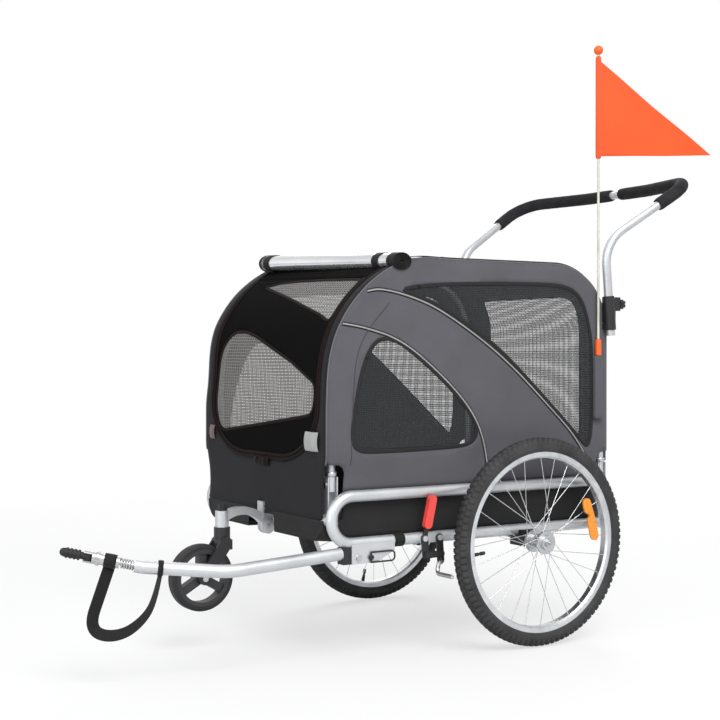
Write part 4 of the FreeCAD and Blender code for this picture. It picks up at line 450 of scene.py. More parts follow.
def dipped(name, upper, lower, height_mm):
    """A steel arm dipped in black coat above a height, with its plated wire left bare below."""
    made, tree, shader, where = finish_base(name, Roughness=0.36)
    axes = node(tree, "ShaderNodeSeparateXYZ", None, {"Vector": where.outputs["Object"]})
    grain = node(tree, "ShaderNodeTexNoise", {"Scale": 60.0, "Detail": 3.0},
                 {"Vector": where.outputs["Object"]})
    share = node(tree, "ShaderNodeMapRange",
                 {"From Min": (height_mm - 1) * MM, "From Max": (height_mm + 1) * MM, "To Min": 1.0,
                  "To Max": 0.0}, {"Value": axes.outputs["Z"]})
    ramp = node(tree, "ShaderNodeValToRGB", None, {"Fac": share.outputs["Result"]})
    ramp.color_ramp.elements[0].color = (*upper, 1.0)
    ramp.color_ramp.elements[1].color = (*lower, 1.0)
    tree.links.new(ramp.outputs["Color"], shader.inputs["Base Color"])
    tree.links.new(share.outputs["Result"], shader.inputs["Metallic"])
    bumped(tree, shader, grain.outputs["Fac"], 0.1, 0.4)
    return made


def moulded(name, colour, rough=0.45, grain_mm=1.4, depth_mm=0.12):
    """Moulded plastic: a fine spark-eroded grain."""
    made, tree, shader, where = finish_base(name, Roughness=rough, Specular_IOR_Level=0.45)
    mottled(tree, shader, where, shade(colour, 0.85), shade(colour, 1.15), 30)
    grain = node(tree, "ShaderNodeTexNoise", {"Scale": 1000 / grain_mm / 2, "Detail": 3.0},
                 {"Vector": where.outputs["Object"]})
    bumped(tree, shader, grain.outputs["Fac"], depth_mm, 0.5)
    return made


def rubbery(name, colour, rough=0.7, grain_mm=2.2):
    """Rubber: matt, with a slightly dusty drift of shade and a soft grain."""
    made, tree, shader, where = finish_base(name, Roughness=rough, Specular_IOR_Level=0.35)
    mottled(tree, shader, where, shade(colour, 0.8), shade(colour, 1.35), 22)
    grain = node(tree, "ShaderNodeTexNoise", {"Scale": 1000 / grain_mm / 2, "Detail": 5.0},
                 {"Vector": where.outputs["Object"]})
    bumped(tree, shader, grain.outputs["Fac"], 0.25, 0.5)
    return made


def foamed(name, colour):
    """Closed-cell foam: fine round pits all over a dull skin."""
    made, tree, shader, where = finish_base(name, Roughness=0.9, Specular_IOR_Level=0.25)
    mottled(tree, shader, where, shade(colour, 0.8), shade(colour, 1.3), 12)
    pits = node(tree, "ShaderNodeTexVoronoi", {"Scale": 420.0}, {"Vector": where.outputs["Object"]})
    bumped(tree, shader, pits.outputs["Distance"], 0.35, 0.6)
    return made


def clear_sheet(name, colour):
    """Clear PVC in a roll: painted bright bands of reflected light between turns in painted shade, set in the
    base colour.
    """
    made, tree, shader, where = finish_base(name, Roughness=0.2, Metallic=0.8, Coat_Weight=0.5,
                                            Coat_Roughness=0.08)
    bands = node(tree, "ShaderNodeTexWave",
                 {"bands_direction": "X", "Scale": 7.0, "Distortion": 1.2, "Detail": 2.0,
                  "Detail Scale": 0.5}, {"Vector": where.outputs["UV"]})
    ramp = node(tree, "ShaderNodeValToRGB", None, {"Fac": bands.outputs["Fac"]})
    # The dark stop is painted shade in the turns, the light stop a painted reflection.
    ramp.color_ramp.elements[0].color = (*shade(colour, 0.78), 1.0)
    ramp.color_ramp.elements[1].color = (*shade(colour, 1.34), 1.0)
    tree.links.new(ramp.outputs["Color"], shader.inputs["Base Color"])
    creases = node(tree, "ShaderNodeTexNoise", {"Scale": 26.0, "Detail": 3.0},
                   {"Vector": where.outputs["UV"]})
    bumped(tree, shader, creases.outputs["Fac"], 1.2, 0.4)
    return made


def prism_plastic(name, colour):
    """Reflector acrylic: a coloured clear face over small moulded prisms."""
    made, tree, shader, where = finish_base(name, Base_Color=colour, Roughness=0.16, Coat_Weight=0.4,
                                            IOR=1.49)
    cells = node(tree, "ShaderNodeTexVoronoi", {"Scale": 230.0, "distance": "CHEBYCHEV"},
                 {"Vector": where.outputs["Object"]})
    ramp = node(tree, "ShaderNodeValToRGB", None, {"Fac": cells.outputs["Distance"]})
    ramp.color_ramp.elements[0].color = (*shade(colour, 1.25), 1.0)
    ramp.color_ramp.elements[1].color = (*shade(colour, 0.7), 1.0)
    tree.links.new(ramp.outputs["Color"], shader.inputs["Base Color"])
    bumped(tree, shader, cells.outputs["Distance"], 0.6, 0.6)
    return made


# Finishes already made, and the height of the dip line on the brake arm in millimetres
FINISHES = {}
DIP_Z = 214.0


def finish(name):
    """The finish of a name, made on first use."""
    if name not in FINISHES:
        cover, flag = bpy.context.scene.trailer_cover, bpy.context.scene.trailer_flag
        weave, cell = cover.weave, cover.net_cell
        makers = {
            "side cloth": lambda: woven("grey coated polyester", tuple(cover.side_colour), weave),
            # Front cloth: darker than the side cloth, which paints the shade on the front (painted shade).
            "front cloth": lambda: woven("dark coated polyester", tuple(cover.front_shade_colour), weave, 0.85,
                                         0.04, 0.15),
            "door cloth": lambda: woven("black coated polyester", linear("#0a0a0a"), weave, 0.85, 0.0, 0.04),
            "tub cloth": lambda: woven("black tub polyester", linear("#242425"), weave, 0.75, 0.02, 0.2),
            "mat cloth": lambda: woven("quilted mat polyester", linear("#3a3a3d"), weave * 1.4,
                                       coords="Object"),
            "net": lambda: netting("window net", linear("#2b2d2f"), (cell, cell), 0.72, 0.88, 0.05),
            "door net": lambda: netting("grey door net", linear("#696765"), (cell * 2.6, cell * 1.7), 0.4,
                                        0.85, 0.3),
            "binding": lambda: woven("brown binding tape", linear("#120806"), 0.003, 0.7, 0.0, 0.12),
            "piping": lambda: woven("reflective piping tape", linear("#9c9b9a"), 0.003, 0.45),
            "seam tape": lambda: woven("grey seam tape", linear("#646367"), 0.003, 0.8, 0.05, 0.15),
            "webbing": lambda: woven("black webbing", linear("#161617"), 0.0035, 0.75, 0.04),
            "tape tab": lambda: woven("silver tape tab", linear("#a2a2a1"), 0.004, 0.4),
            "brown tab": lambda: woven("brown tape tab", linear("#6d5a55"), 0.004, 0.6),
            "stitch": lambda: woven("dark sewing thread", linear("#3c3c40"), 0.002, 0.8),
            "flag nylon": lambda: woven("orange nylon", tuple(flag.colour), 0.003, 0.6, 0.3),
            "clear cover": lambda: clear_sheet("clear rolled PVC", linear("#dcdee0")),
            "silver coat": lambda: powder_coat("silver powder coat", linear("#c6c8ca")),
            "black coat": lambda: powder_coat("black powder coat", linear("#1d1d1f"), 0.4, 0.0),
            "dipped steel": lambda: dipped("dipped and plated steel", linear("#1d1d1f"), linear("#c0c0c0"),
                                           DIP_Z),
            "plated steel": lambda: bare_metal("zinc-plated steel", linear("#c0c0c0")),
            "spoke steel": lambda: bare_metal("stainless spoke wire", linear("#d2d3d4"), 0.25),
            "rim alloy": lambda: bare_metal("satin rim alloy", linear("#d6d8da"), 0.34),
            "hub alloy": lambda: bare_metal("satin hub alloy", linear("#c2c4c6"), 0.36),
            "black plastic": lambda: moulded("black moulded nylon", linear("#1e1e20")),
            "grey plastic": lambda: moulded("dark grey moulded nylon", linear("#2d2d2f")),
            "board plastic": lambda: moulded("dark hollow board", linear("#2a2a2b"), 0.6, 4.0),
            "red plastic": lambda: moulded("red grip vinyl", linear("#d8473f"), 0.4),
            "orange plastic": lambda: moulded("orange ferrule vinyl", linear("#f0601c"), 0.45),
            "tyre rubber": lambda: rubbery("tyre tread rubber", linear("#303031")),
            "soft rubber": lambda: rubbery("black moulded rubber", linear("#1f1f20"), 0.6),
            "grip foam": lambda: foamed("handle foam", linear("#222224")),
            "fibreglass": lambda: moulded("white fibreglass rod", linear("#c3c1b7"), 0.35, 3.0, 0.05),
            "orange reflector": lambda: prism_plastic("orange reflector acrylic", linear("#e98c14")),
        }
        FINISHES[name] = makers[name]()
    return FINISHES[name]


# Cabin surfaces

def cabin_profile():
    """The cabin's side line from the nose over the roof to the rear foot: points, lengths, outward normals.

    The front cloth bellies forward by belly * sin^2 of a share that rises above the nose and falls to the
    roof's curve.
    """
    turn = np.linspace(0, math.pi / 2, 60)
    start, end = 1 - np.cos(turn), 1 - np.sin(turn)
    front = np.stack([FRONT_Y + FRONT_ARC * start, TOP_Z - FRONT_ARC * end], axis=1)
    rear = np.stack([REAR_Y - REAR_ARC * end, TOP_Z - REAR_ARC * start], axis=1)
    line = np.concatenate([[[NOSE_Y, NOSE_Z]], [[FRONT_Y, SWELL_Z]], front, rear, [[REAR_Y, NOSE_Z]]])
    line = resampled(line, PROFILE_STEP, False)
    y, z = line[:, 0], line[:, 1]
    fade = np.clip((z - BELLY_FROM) / BELLY_RISE, 0, 1) * np.clip((BELLY_END - z) / BELLY_FALL, 0, 1)
    line[:, 0] = y - np.where(y < 0, BELLY * np.sin(fade * math.pi / 2) ** 2, 0.0)
    tangent = tangents(line)
    return line, arc_shares(line), np.stack([-tangent[:, 1], tangent[:, 0]], axis=1)


PROFILE, PROFILE_AT, PROFILE_OUT = cabin_profile()
FRONT_COUNT = int(np.argmax(PROFILE[:, 1] >= TOP_Z - 0.5))


def height_to_length(z):
    """Length along the cabin's line at which the front reaches a height."""
    return np.interp(z, PROFILE[:FRONT_COUNT, 1], PROFILE_AT[:FRONT_COUNT])


def rear_length(z):
    """Length along the cabin's line at which the rear comes down to a height."""
    return np.interp(-np.asarray(z), -PROFILE[FRONT_COUNT:, 1], PROFILE_AT[FRONT_COUNT:])


def flare(y, z):
    """How far the cover spreads past its hoops low at the front, eased in height and to the rear."""
    share = np.clip((z - FLARE_FROM) / FLARE_RISE, 0, 1) * np.clip((FLARE_END - z) / FLARE_FALL, 0, 1)
    near = np.clip((FRONT_Y + FLARE_REACH - y) / FLARE_REACH, 0, 1)
    return FLARE * np.sin(share * math.pi / 2) ** 2 * np.sin(near * math.pi / 2)


def full_share(y, z):
    """Where the cloth is full: one round the top of the front, eased to nothing down and back."""
    share = np.clip((z - FULL_FROM) / FULL_RISE, 0, 1) * np.clip((FULL_END - y) / FULL_FALL, 0, 1)
    return np.sin(share * math.pi / 2) ** 2


def fullness(x, y, z):
    """How far the full cloth stands off its hoops, most on the right."""
    return full_share(y, z) * (FULL_MEAN - FULL_TILT * np.asarray(x) / CABIN_HALF)


def band(x, along, lift=0.0):
    """A point of the cover: the side line at a length, moved along its normal by fullness, crown and lift.

    crown(x, s) = crown * (1 - (x / half)^2) * roof share, where the share rises above the door's hinge
    line and gives way to the fullness. Across, x widens by the flare.
    """
    y, z = (np.interp(along, PROFILE_AT, PROFILE[:, k]) for k in (0, 1))
    out_y, out_z = (np.interp(along, PROFILE_AT, PROFILE_OUT[:, k]) for k in (0, 1))
    roof = np.clip((z - DOOR_TOP) / (TOP_Z - DOOR_TOP), 0.0, 1.0) * (1 - full_share(y, z))
    crown = bpy.context.scene.trailer_cover.roof_crown / MM
    move = crown * (1 - (np.asarray(x) / CABIN_HALF) ** 2) * roof + fullness(x, y, z) + lift
    wide = np.asarray(x) * (1 + flare(y, z) / CABIN_HALF)
    return metres(np.stack([wide, y + out_y * move, z + out_z * move], axis=-1))


def side_point(y, z, side, lift=0.0):
    """A point of a side panel: flat, bellied out by a swell that fades to the outline."""
    ends = np.minimum(np.abs(y - FRONT_Y), np.abs(REAR_Y - y))
    edge = np.minimum(np.minimum(ends, np.abs(TOP_Z - z)), np.abs(z - SIDE_FOOT_Z))
    share = np.clip(edge / SWELL_REACH, 0.0, 1.0)
    swell = bpy.context.scene.trailer_cover.side_swell / MM * np.sin(share * math.pi / 2)
    x = side * (CABIN_HALF + SIDE_GAP + swell + flare(y, z) + lift)
    return metres(np.stack([np.broadcast_to(x, np.shape(y)), y, z], axis=-1))


def on_side(side):
    """The function that puts flat points of y and height on a side panel."""
    return lambda flat, lift=0.0: side_point(flat[:, 0], flat[:, 1], side, lift)


def on_front(flat, lift=0.0):
    """Points of the cover from x and length."""
    return band(flat[:, 0], flat[:, 1], lift)


def door_loop(inset, top):
    """The door's outline in x and length along the front, from top right round the foot to top left."""
    half, wide, tall = DOOR_HALF - inset, DOOR_CORNER_WIDE - inset, DOOR_CORNER_TALL - inset
    turn = np.linspace(math.pi / 2, 0, 24)
    low = DOOR_LOW + inset
    right = np.stack([half - wide + wide * np.sin(turn), low + tall * (1 - np.cos(turn))], axis=1)
    rise = np.stack([np.full(12, half), np.linspace(top, low + tall, 13)[:-1]], axis=1)
    right = np.concatenate([rise, right])
    line = np.concatenate([right, right[::-1] * [-1, 1]])
    return np.stack([line[:, 0], height_to_length(line[:, 1])], axis=1)


def front_loop(corners):
    """A soft-cornered loop in x and length along the front, from corners given in x and height."""
    loop = resampled(corners, CORNER_STEP, True)
    return eased(np.stack([loop[:, 0], height_to_length(loop[:, 1])], axis=1), 2, True)


def mirrored(right):
    """A loop from its right half and the same points mirrored in reverse."""
    return np.array(right + [(-x, along) for x, along in reversed(right)], float)


def joined(loop):
    """Points round a loop, a tape's step apart, that run one step past their start."""
    loop = resampled(loop, TAPE_STEP, True)
    return np.concatenate([loop, loop[:2]])


def tape(line, width, rise, place):
    """A flat tape along a line of a flat cut: moved across by w * t and raised by rise * (1 - 0.8 t^2)."""
    tangent = tangents(line)
    across = np.stack([-tangent[:, 1], tangent[:, 0]], axis=1)
    return np.stack([place(line + across * width / 2 * share, rise * (1 - 0.8 * share ** 2))
                     for share in np.linspace(-1, 1, 5)], axis=1)


def sewn_tape(name, line, width, rise, place, body, material, slot, wall=TAPE_WALL):
    """A thin flat tape sewn along a line of a flat cut."""
    rows = tape(line, width, rise, place)
    return thicken(piece(name, *grid(rows), body, finish(material), slot), wall, 0.0)


def cloth_piece(name, flat, faces, lifted, outward, body, material, slot, stands_for=(), wall=True):
    """A cloth piece from flat triangles and their lifted points, with UV from the flat cut in metres."""
    faces = facing(lifted, faces, np.asarray(outward, float))
    made = piece(name, lifted, faces, flat * MM, body, finish(material), slot, stands_for)
    if wall:
        thicken(made, bpy.context.scene.trailer_cover.cloth)
    return made


def flat_size(flat):
    """Width and length of a flat cut in metres."""
    return tuple(float(value) * MM for value in np.ptp(flat, axis=0))


def area_of(points, faces):
    """Surface of triangles."""
    a, b, c = (points[faces[:, k]] for k in range(3))
    return float(np.linalg.norm(np.cross(b - a, c - a), axis=1).sum() / 2)


def make_sheet(flat, faces, lifted):
    """Work out a flat cut's size and its area, capped at that size; nothing is done with them."""
    size = flat_size(flat)
    area = min(area_of(lifted, faces), size[0] * size[1])


def piping(name, points, radius_mm, material, sides=8):
    """A round sewn edge along points in metres."""
    rows = capped(swept(points, radius_mm * MM, sides))
    return piece(name, *grid(rows), "trailer", finish(material), "side_cloth")


# Side panels: windows, piping and stitching as y and height

SMALL_WINDOW = ((-420, 712), (-456, 640), (-482, 520), (-476, 474), (-430, 468), (-190, 470), (-140, 480),
                (-128, 512), (-160, 563), (-240, 636), (-340, 709), (-382, 723))
LARGE_WINDOW = ((-352, 833), (-231, 847), (-60, 853), (128, 855), (178, 836), (204, 795), (220, 740),
                (226, 690), (226, 440), (175, 487), (97, 558), (20, 626), (-57, 692), (-140, 745),
                (-231, 795), (-310, 823))
LOWER_PIPING = ((-497, 753), (-440, 745), (-342, 717), (-231, 637), (-151, 560), (-112, 490), (-92, 385))
UPPER_PIPING = ((-434, 826), (-400, 833), (-320, 818), (-231, 787), (-57, 683), (97, 549), (175, 478),
                (236, 385))
STITCH_LINE = ((-376, 800), (-432, 742), (-466, 680), (-480, 560), (-483, 440))
SIDE_TAPE_WIDTH, PIPING_RADIUS, STITCH_RADIUS = 9.0, 1.8, 0.9
WINDOW_TAPE_RISE, PIPING_TAPE_RISE, PIPING_LIFT, STITCH_LIFT, SEAM_SINK = 0.8, 0.9, 1.4, 0.3, 1.0
ARCH_TURN = math.radians(118)


def side_edge(side, above):
    """A side's front, roof and rear line above a height, moved out by the cloth's fullness at that side."""
    full = fullness(side * CABIN_HALF, PROFILE[:, 0], PROFILE[:, 1])
    return (PROFILE + PROFILE_OUT * full[:, None])[PROFILE[:, 1] > above]


def side_loop(side):
    """A side panel's outline: hinge arches at both feet, the front line, roof and rear between them."""
    arch = np.linspace(0, ARCH_TURN, 14)
    out, up = HINGE_ARCH * np.cos(arch), HINGE_Z + HINGE_ARCH * np.sin(arch)
    front = np.stack([HINGE_FRONT_Y + out, up], axis=1)
    rear = np.stack([HINGE_REAR_Y - out, up], axis=1)
    upper = side_edge(side, HINGE_Z + HINGE_ARCH + 1)
    feet = [[front[0, 0], SIDE_FOOT_Z]], [[rear[0, 0], SIDE_FOOT_Z]]
    return np.concatenate([feet[0], front, upper, rear[::-1], feet[1]])


class TRAILER_OT_make_sides(bpy.types.Operator):
    """Side panels with net windows, reflective piping and stitching"""
    bl_idname = "trailer.make_sides"
    bl_label = "Make the sides"

    def execute(self, context):
        windows = [eased(SMALL_WINDOW, 3, True), eased(LARGE_WINDOW, 3, True)]
        for name, side in SIDES:
            place = on_side(side)
            flat, faces = cloth_region(side_loop(side), windows, CLOTH_GRID)
            lifted = place(flat)
            made = cloth_piece(name + "_side_cloth", flat, faces, lifted, (side, 0, 0), "trailer",
                               "side cloth", "side_cloth", (name + "_side_panel",))
            for part, window in zip(("small", "large"), windows):
                net, net_faces = cloth_region(window, [], NET_GRID)
                cloth_piece(f"{name}_{part}_window_net", net, net_faces, place(net, -NET_SINK),
                                        (side, 0, 0), "trailer", "net", "side_cloth", wall=False)
                sewn_tape(f"{name}_{part}_window_binding", joined(window), SIDE_TAPE_WIDTH,
                                      WINDOW_TAPE_RISE, place, "trailer", "tub cloth", "side_cloth")
            for part, line in (("lower", LOWER_PIPING), ("upper", UPPER_PIPING)):
                run = resampled(eased(line, 4, False), TAPE_STEP, False)
                sewn_tape(f"{name}_{part}_piping_tape", run, SIDE_TAPE_WIDTH, PIPING_TAPE_RISE,
                                      place, "trailer", "tub cloth", "side_cloth")
                piping(f"{name}_{part}_piping", place(run, PIPING_LIFT), PIPING_RADIUS, "piping")
            run = resampled(eased(STITCH_LINE, 3, False), TAPE_STEP, False)
            piping(f"{name}_seam_stitch", place(run, STITCH_LIFT), STITCH_RADIUS, "stitch", 6)
            edge = side_edge(side, HINGE_Z + HINGE_ARCH - 1)
            piping(f"{name}_cover_seam", place(edge, -SEAM_SINK), PIPING_RADIUS, "seam tape")
            make_sheet(flat, faces, lifted)
        return {"FINISHED"}


# Front panel and roof: the seam between them, the notches for caster clamp and hoop feet, and the tabs

ROOF_SEAM_Z = 898.0
NOTCH_HALF, NOTCH_TOP = 14.4, 338.4
FRONT_FOOT_HALF, FRONT_FOOT_TOP = 284.5, 396.0
FRAME_OUTSET, FRAME_WIDTH, FRAME_RISE = 4.8, 8.6, 2.0
REAR_WINDOW = ((-190, 836), (190, 836), (190, 470), (-190, 470))
REAR_GRID, REAR_CORNER_STEP, REAR_TAPE_WIDTH = 18.0, 44.0, 11.0
ROOF_EDGE_X, ROOF_EDGE_FRONT, ROOF_EDGE_REAR = 284.0, -228.0, 200.0
ROOF_EDGE_LIFT, ROOF_EDGE_RADIUS = 2.0, 2.6
FRONT_OUT, ROOF_OUT, REAR_OUT = (0, -0.7, 0.7), (0, 0.4, 0.9), (0, 0.9, 0.4)
TABS = (("near_tape_tab", 232.0, 492.0, 54.0, 42.0, "tape tab"),
        ("far_tape_tab", -246.0, 490.0, 24.0, 34.0, "brown tab"),
        ("zip_end_flap", 20.0, 434.0, 44.0, 18.0, "binding"),
        ("zip_pull", -24.0, 434.0, 7.0, 16.0, "webbing"))
TAB_LIFT, TAB_ARCH, TAB_WALL = 2.4, 3.6, 0.0014
TAB_FOLD_SHARE, TAB_FOLD_PLACE_SHARE, TAB_FOLD_WIDTH_SHARE = 0.07, 0.12, 0.16


class TRAILER_OT_make_cover(bpy.types.Operator):
    """Front panel round the door, and the roof that runs on down the rear"""
    bl_idname = "trailer.make_cover"
    bl_label = "Make the cover"

    def execute(self, context):
        low, seam = PROFILE_AT[0], height_to_length(ROOF_SEAM_Z)
        notch, foot, hinge = height_to_length((NOTCH_TOP, FRONT_FOOT_TOP, HINGE_Z))
        loop = mirrored([(NOTCH_HALF, notch), (NOTCH_HALF, low), (FRONT_FOOT_HALF, low),
                         (FRONT_FOOT_HALF, foot), (CABIN_HALF, hinge), (CABIN_HALF, seam)])
        flat, faces = cloth_region(loop, [door_loop(0.0, BROW_TOP)], CLOTH_GRID)
        lifted = on_front(flat)
        front = cloth_piece("front_cloth", flat, faces, lifted, FRONT_OUT, "trailer", "front cloth",
                            "front_cloth", ("front_panel",))
        edge = resampled(door_loop(-FRAME_OUTSET, BROW_TOP), TAPE_STEP, False)
        trim = [self.make_brow(), sewn_tape("door_frame_binding", edge, FRAME_WIDTH, FRAME_RISE, on_front,
                                            "trailer", "binding", "front_cloth", BINDING_WALL)]
        trim += [self.make_tab(*tab) for tab in TABS]
        make_sheet(flat, faces, lifted)
        self.make_roof(seam)
        return {"FINISHED"}

    def make_brow(self):
        """The black strip of cloth between the top of the door and the rolled cover."""
        half = DOOR_HALF - BROW_GAP
        low, top = height_to_length((DOOR_TOP + BROW_GAP, BROW_TOP))
        flat, faces = cloth_region(mirrored([(half, low), (half, top)]), [], CLOTH_GRID)
        return cloth_piece("door_brow_cloth", flat, faces, on_front(flat), FRONT_OUT, "trailer", "door cloth",
                           "front_cloth")

    def make_tab(self, name, x, z, width, height, material):
        """A folded tape tab: out by arch * (1 - t^2) up its height and by a fold exp(-(u / w)^2) across."""
        share = np.linspace(-1, 1, 13)
        along = height_to_length(z) + height / 2 * share
        arch = TAB_LIFT + TAB_ARCH * (1 - share ** 2)
        columns = []
        for place in np.linspace(-0.5, 0.5, 21)[::-1]:
            bell = math.exp(-((place - TAB_FOLD_PLACE_SHARE) / TAB_FOLD_WIDTH_SHARE) ** 2)
            fold = TAB_FOLD_SHARE * width * bell
            columns.append(band(np.full(13, x + place * width), along, arch + fold))
        made = piece(name, *grid(np.stack(columns, axis=1)), "trailer", finish(material), "front_cloth")
        return thicken(made, TAB_WALL)

    def make_roof(self, seam):
        """The roof and rear in one sheet with a net window at the rear and bound top edges."""
        end, foot = rear_length(SIDE_FOOT_Z), rear_length(HINGE_Z)
        loop = mirrored([(CABIN_HALF, seam), (CABIN_HALF, foot), (REAR_FOOT_HALF, foot),
                         (REAR_FOOT_HALF, end)])
        window = resampled(REAR_WINDOW, REAR_CORNER_STEP, True)
        window = eased(np.stack([window[:, 0], rear_length(window[:, 1])], axis=1), 3, True)
        flat, faces = cloth_region(loop, [window], REAR_GRID)
        lifted = on_front(flat)
        made = cloth_piece("roof_cloth", flat, faces, lifted, ROOF_OUT, "trailer", "side cloth", "side_cloth",
                           ("roof_panel",))
        net, net_faces = cloth_region(window, [], REAR_GRID)
        trim = [cloth_piece("rear_window_net", net, net_faces, on_front(net, -NET_SINK), REAR_OUT, "trailer",
                            "net", "side_cloth", wall=False),
                sewn_tape("rear_window_binding", joined(window), REAR_TAPE_WIDTH, WINDOW_TAPE_RISE, on_front,
                          "trailer", "tub cloth", "side_cloth")]
        along = np.linspace(*np.interp((ROOF_EDGE_FRONT, ROOF_EDGE_REAR), PROFILE[:, 0], PROFILE_AT), 40)
        for name, side in SIDES:
            line = band(np.full(40, side * ROOF_EDGE_X), along, ROOF_EDGE_LIFT)
            trim.append(piping(name + "_roof_edge_binding", line, ROOF_EDGE_RADIUS, "webbing"))
        make_sheet(flat, faces, lifted)


# Door: nets as x and height, and its own edge binding

LOWER_NET = ((-190, 497), (-214, 507), (-232, 545), (-236, 600), (-232, 650), (-222, 690), (-198, 718),
             (-165, 731), (-115, 731), (-55, 720), (125, 667), (236, 620), (236, 575), (232, 556), (220, 549),
             (11, 522))
UPPER_NET = ((-170, 834), (-112, 844), (-16, 848), (89, 849), (190, 849), (241, 848), (242, 800), (242, 752),
             (188, 769), (42, 799), (-60, 817))
DOOR_GAP, DOOR_NET_GRID, DOOR_NET_SINK = 0.8, 16.0, 0.7
DOOR_TAPE_WIDTH, DOOR_EDGE_INSET, DOOR_EDGE_DROP, DOOR_EDGE_WIDTH = 7.0, 4.6, 1.0, 7.4
DOOR_TAPE_RISE, DOOR_EDGE_RISE = 1.0, 1.8


class TRAILER_OT_make_door(bpy.types.Operator):
    """The zipped door flap with two nets and their bindings"""
    bl_idname = "trailer.make_door"
    bl_label = "Make the door"

    def execute(self, context):
        nets = [front_loop(LOWER_NET), front_loop(UPPER_NET)]
        flat, faces = cloth_region(door_loop(DOOR_GAP, DOOR_TOP), nets, CLOTH_GRID)
        lifted = on_front(flat)
        made = cloth_piece("door_cloth", flat, faces, lifted, FRONT_OUT, "door hinge", "door cloth",
                           "door_cloth", ("front_door",))
        for part, loop in zip(("lower", "upper"), nets):
            net, net_faces = cloth_region(loop, [], DOOR_NET_GRID)
            cloth_piece(f"door_{part}_net", net, net_faces, on_front(net, -DOOR_NET_SINK),
                                    FRONT_OUT, "door hinge", "door net", "door_cloth", wall=False)
            sewn_tape(f"door_{part}_net_binding", joined(loop), DOOR_TAPE_WIDTH,
                                  DOOR_TAPE_RISE, on_front, "door hinge", "binding", "door_cloth")
        edge = resampled(door_loop(DOOR_EDGE_INSET, DOOR_TOP - DOOR_EDGE_DROP), TAPE_STEP, False)
        sewn_tape("door_edge_binding", edge, DOOR_EDGE_WIDTH, DOOR_EDGE_RISE, on_front,
                              "door hinge", "binding", "door_cloth", BINDING_WALL)
        make_sheet(flat, faces, lifted)
        return {"FINISHED"}


# Tub: its box, the slot for the caster clamp, the step at the rear hoop feet and the heights of its walls

TUB_INSET, TUB_BASE, TUB_CUT, TUB_SAG, TUB_GRID, TUB_WALL = 0.4, 273.0, 44.0, 2.2, 30.0, 0.0016
TUB_SLOT_HALF, TUB_SLOT_Y, TUB_SLOT_Z = 62.0, -491.5, 312.0
TUB_REAR_HALF, TUB_STEP_Y = 263.0, 239.0
TUB_SIDE_Z, TUB_LOW_END_Y, TUB_HIGH_START_Y = 392.0, -495.0, -493.5
MAT_EDGE, MAT_GAP, MAT_PULL_SHARE, MAT_UNDER_SHARE = 0.004, 0.0005, 0.012, 0.985
MAT_VOXEL, MAT_PRESSURE, MAT_SWELL, MAT_FILL = 0.006, 4.0, 0.003, 0.6
CHANNELS_ALONG, CHANNELS_ACROSS = (-0.19, 0.0, 0.19), (-0.09, 0.09)
CHANNEL_WIDE, CHANNEL_DEEP, CHANNEL_FOOT, CHANNEL_RISE = 0.010, 0.006, 0.006, 0.01


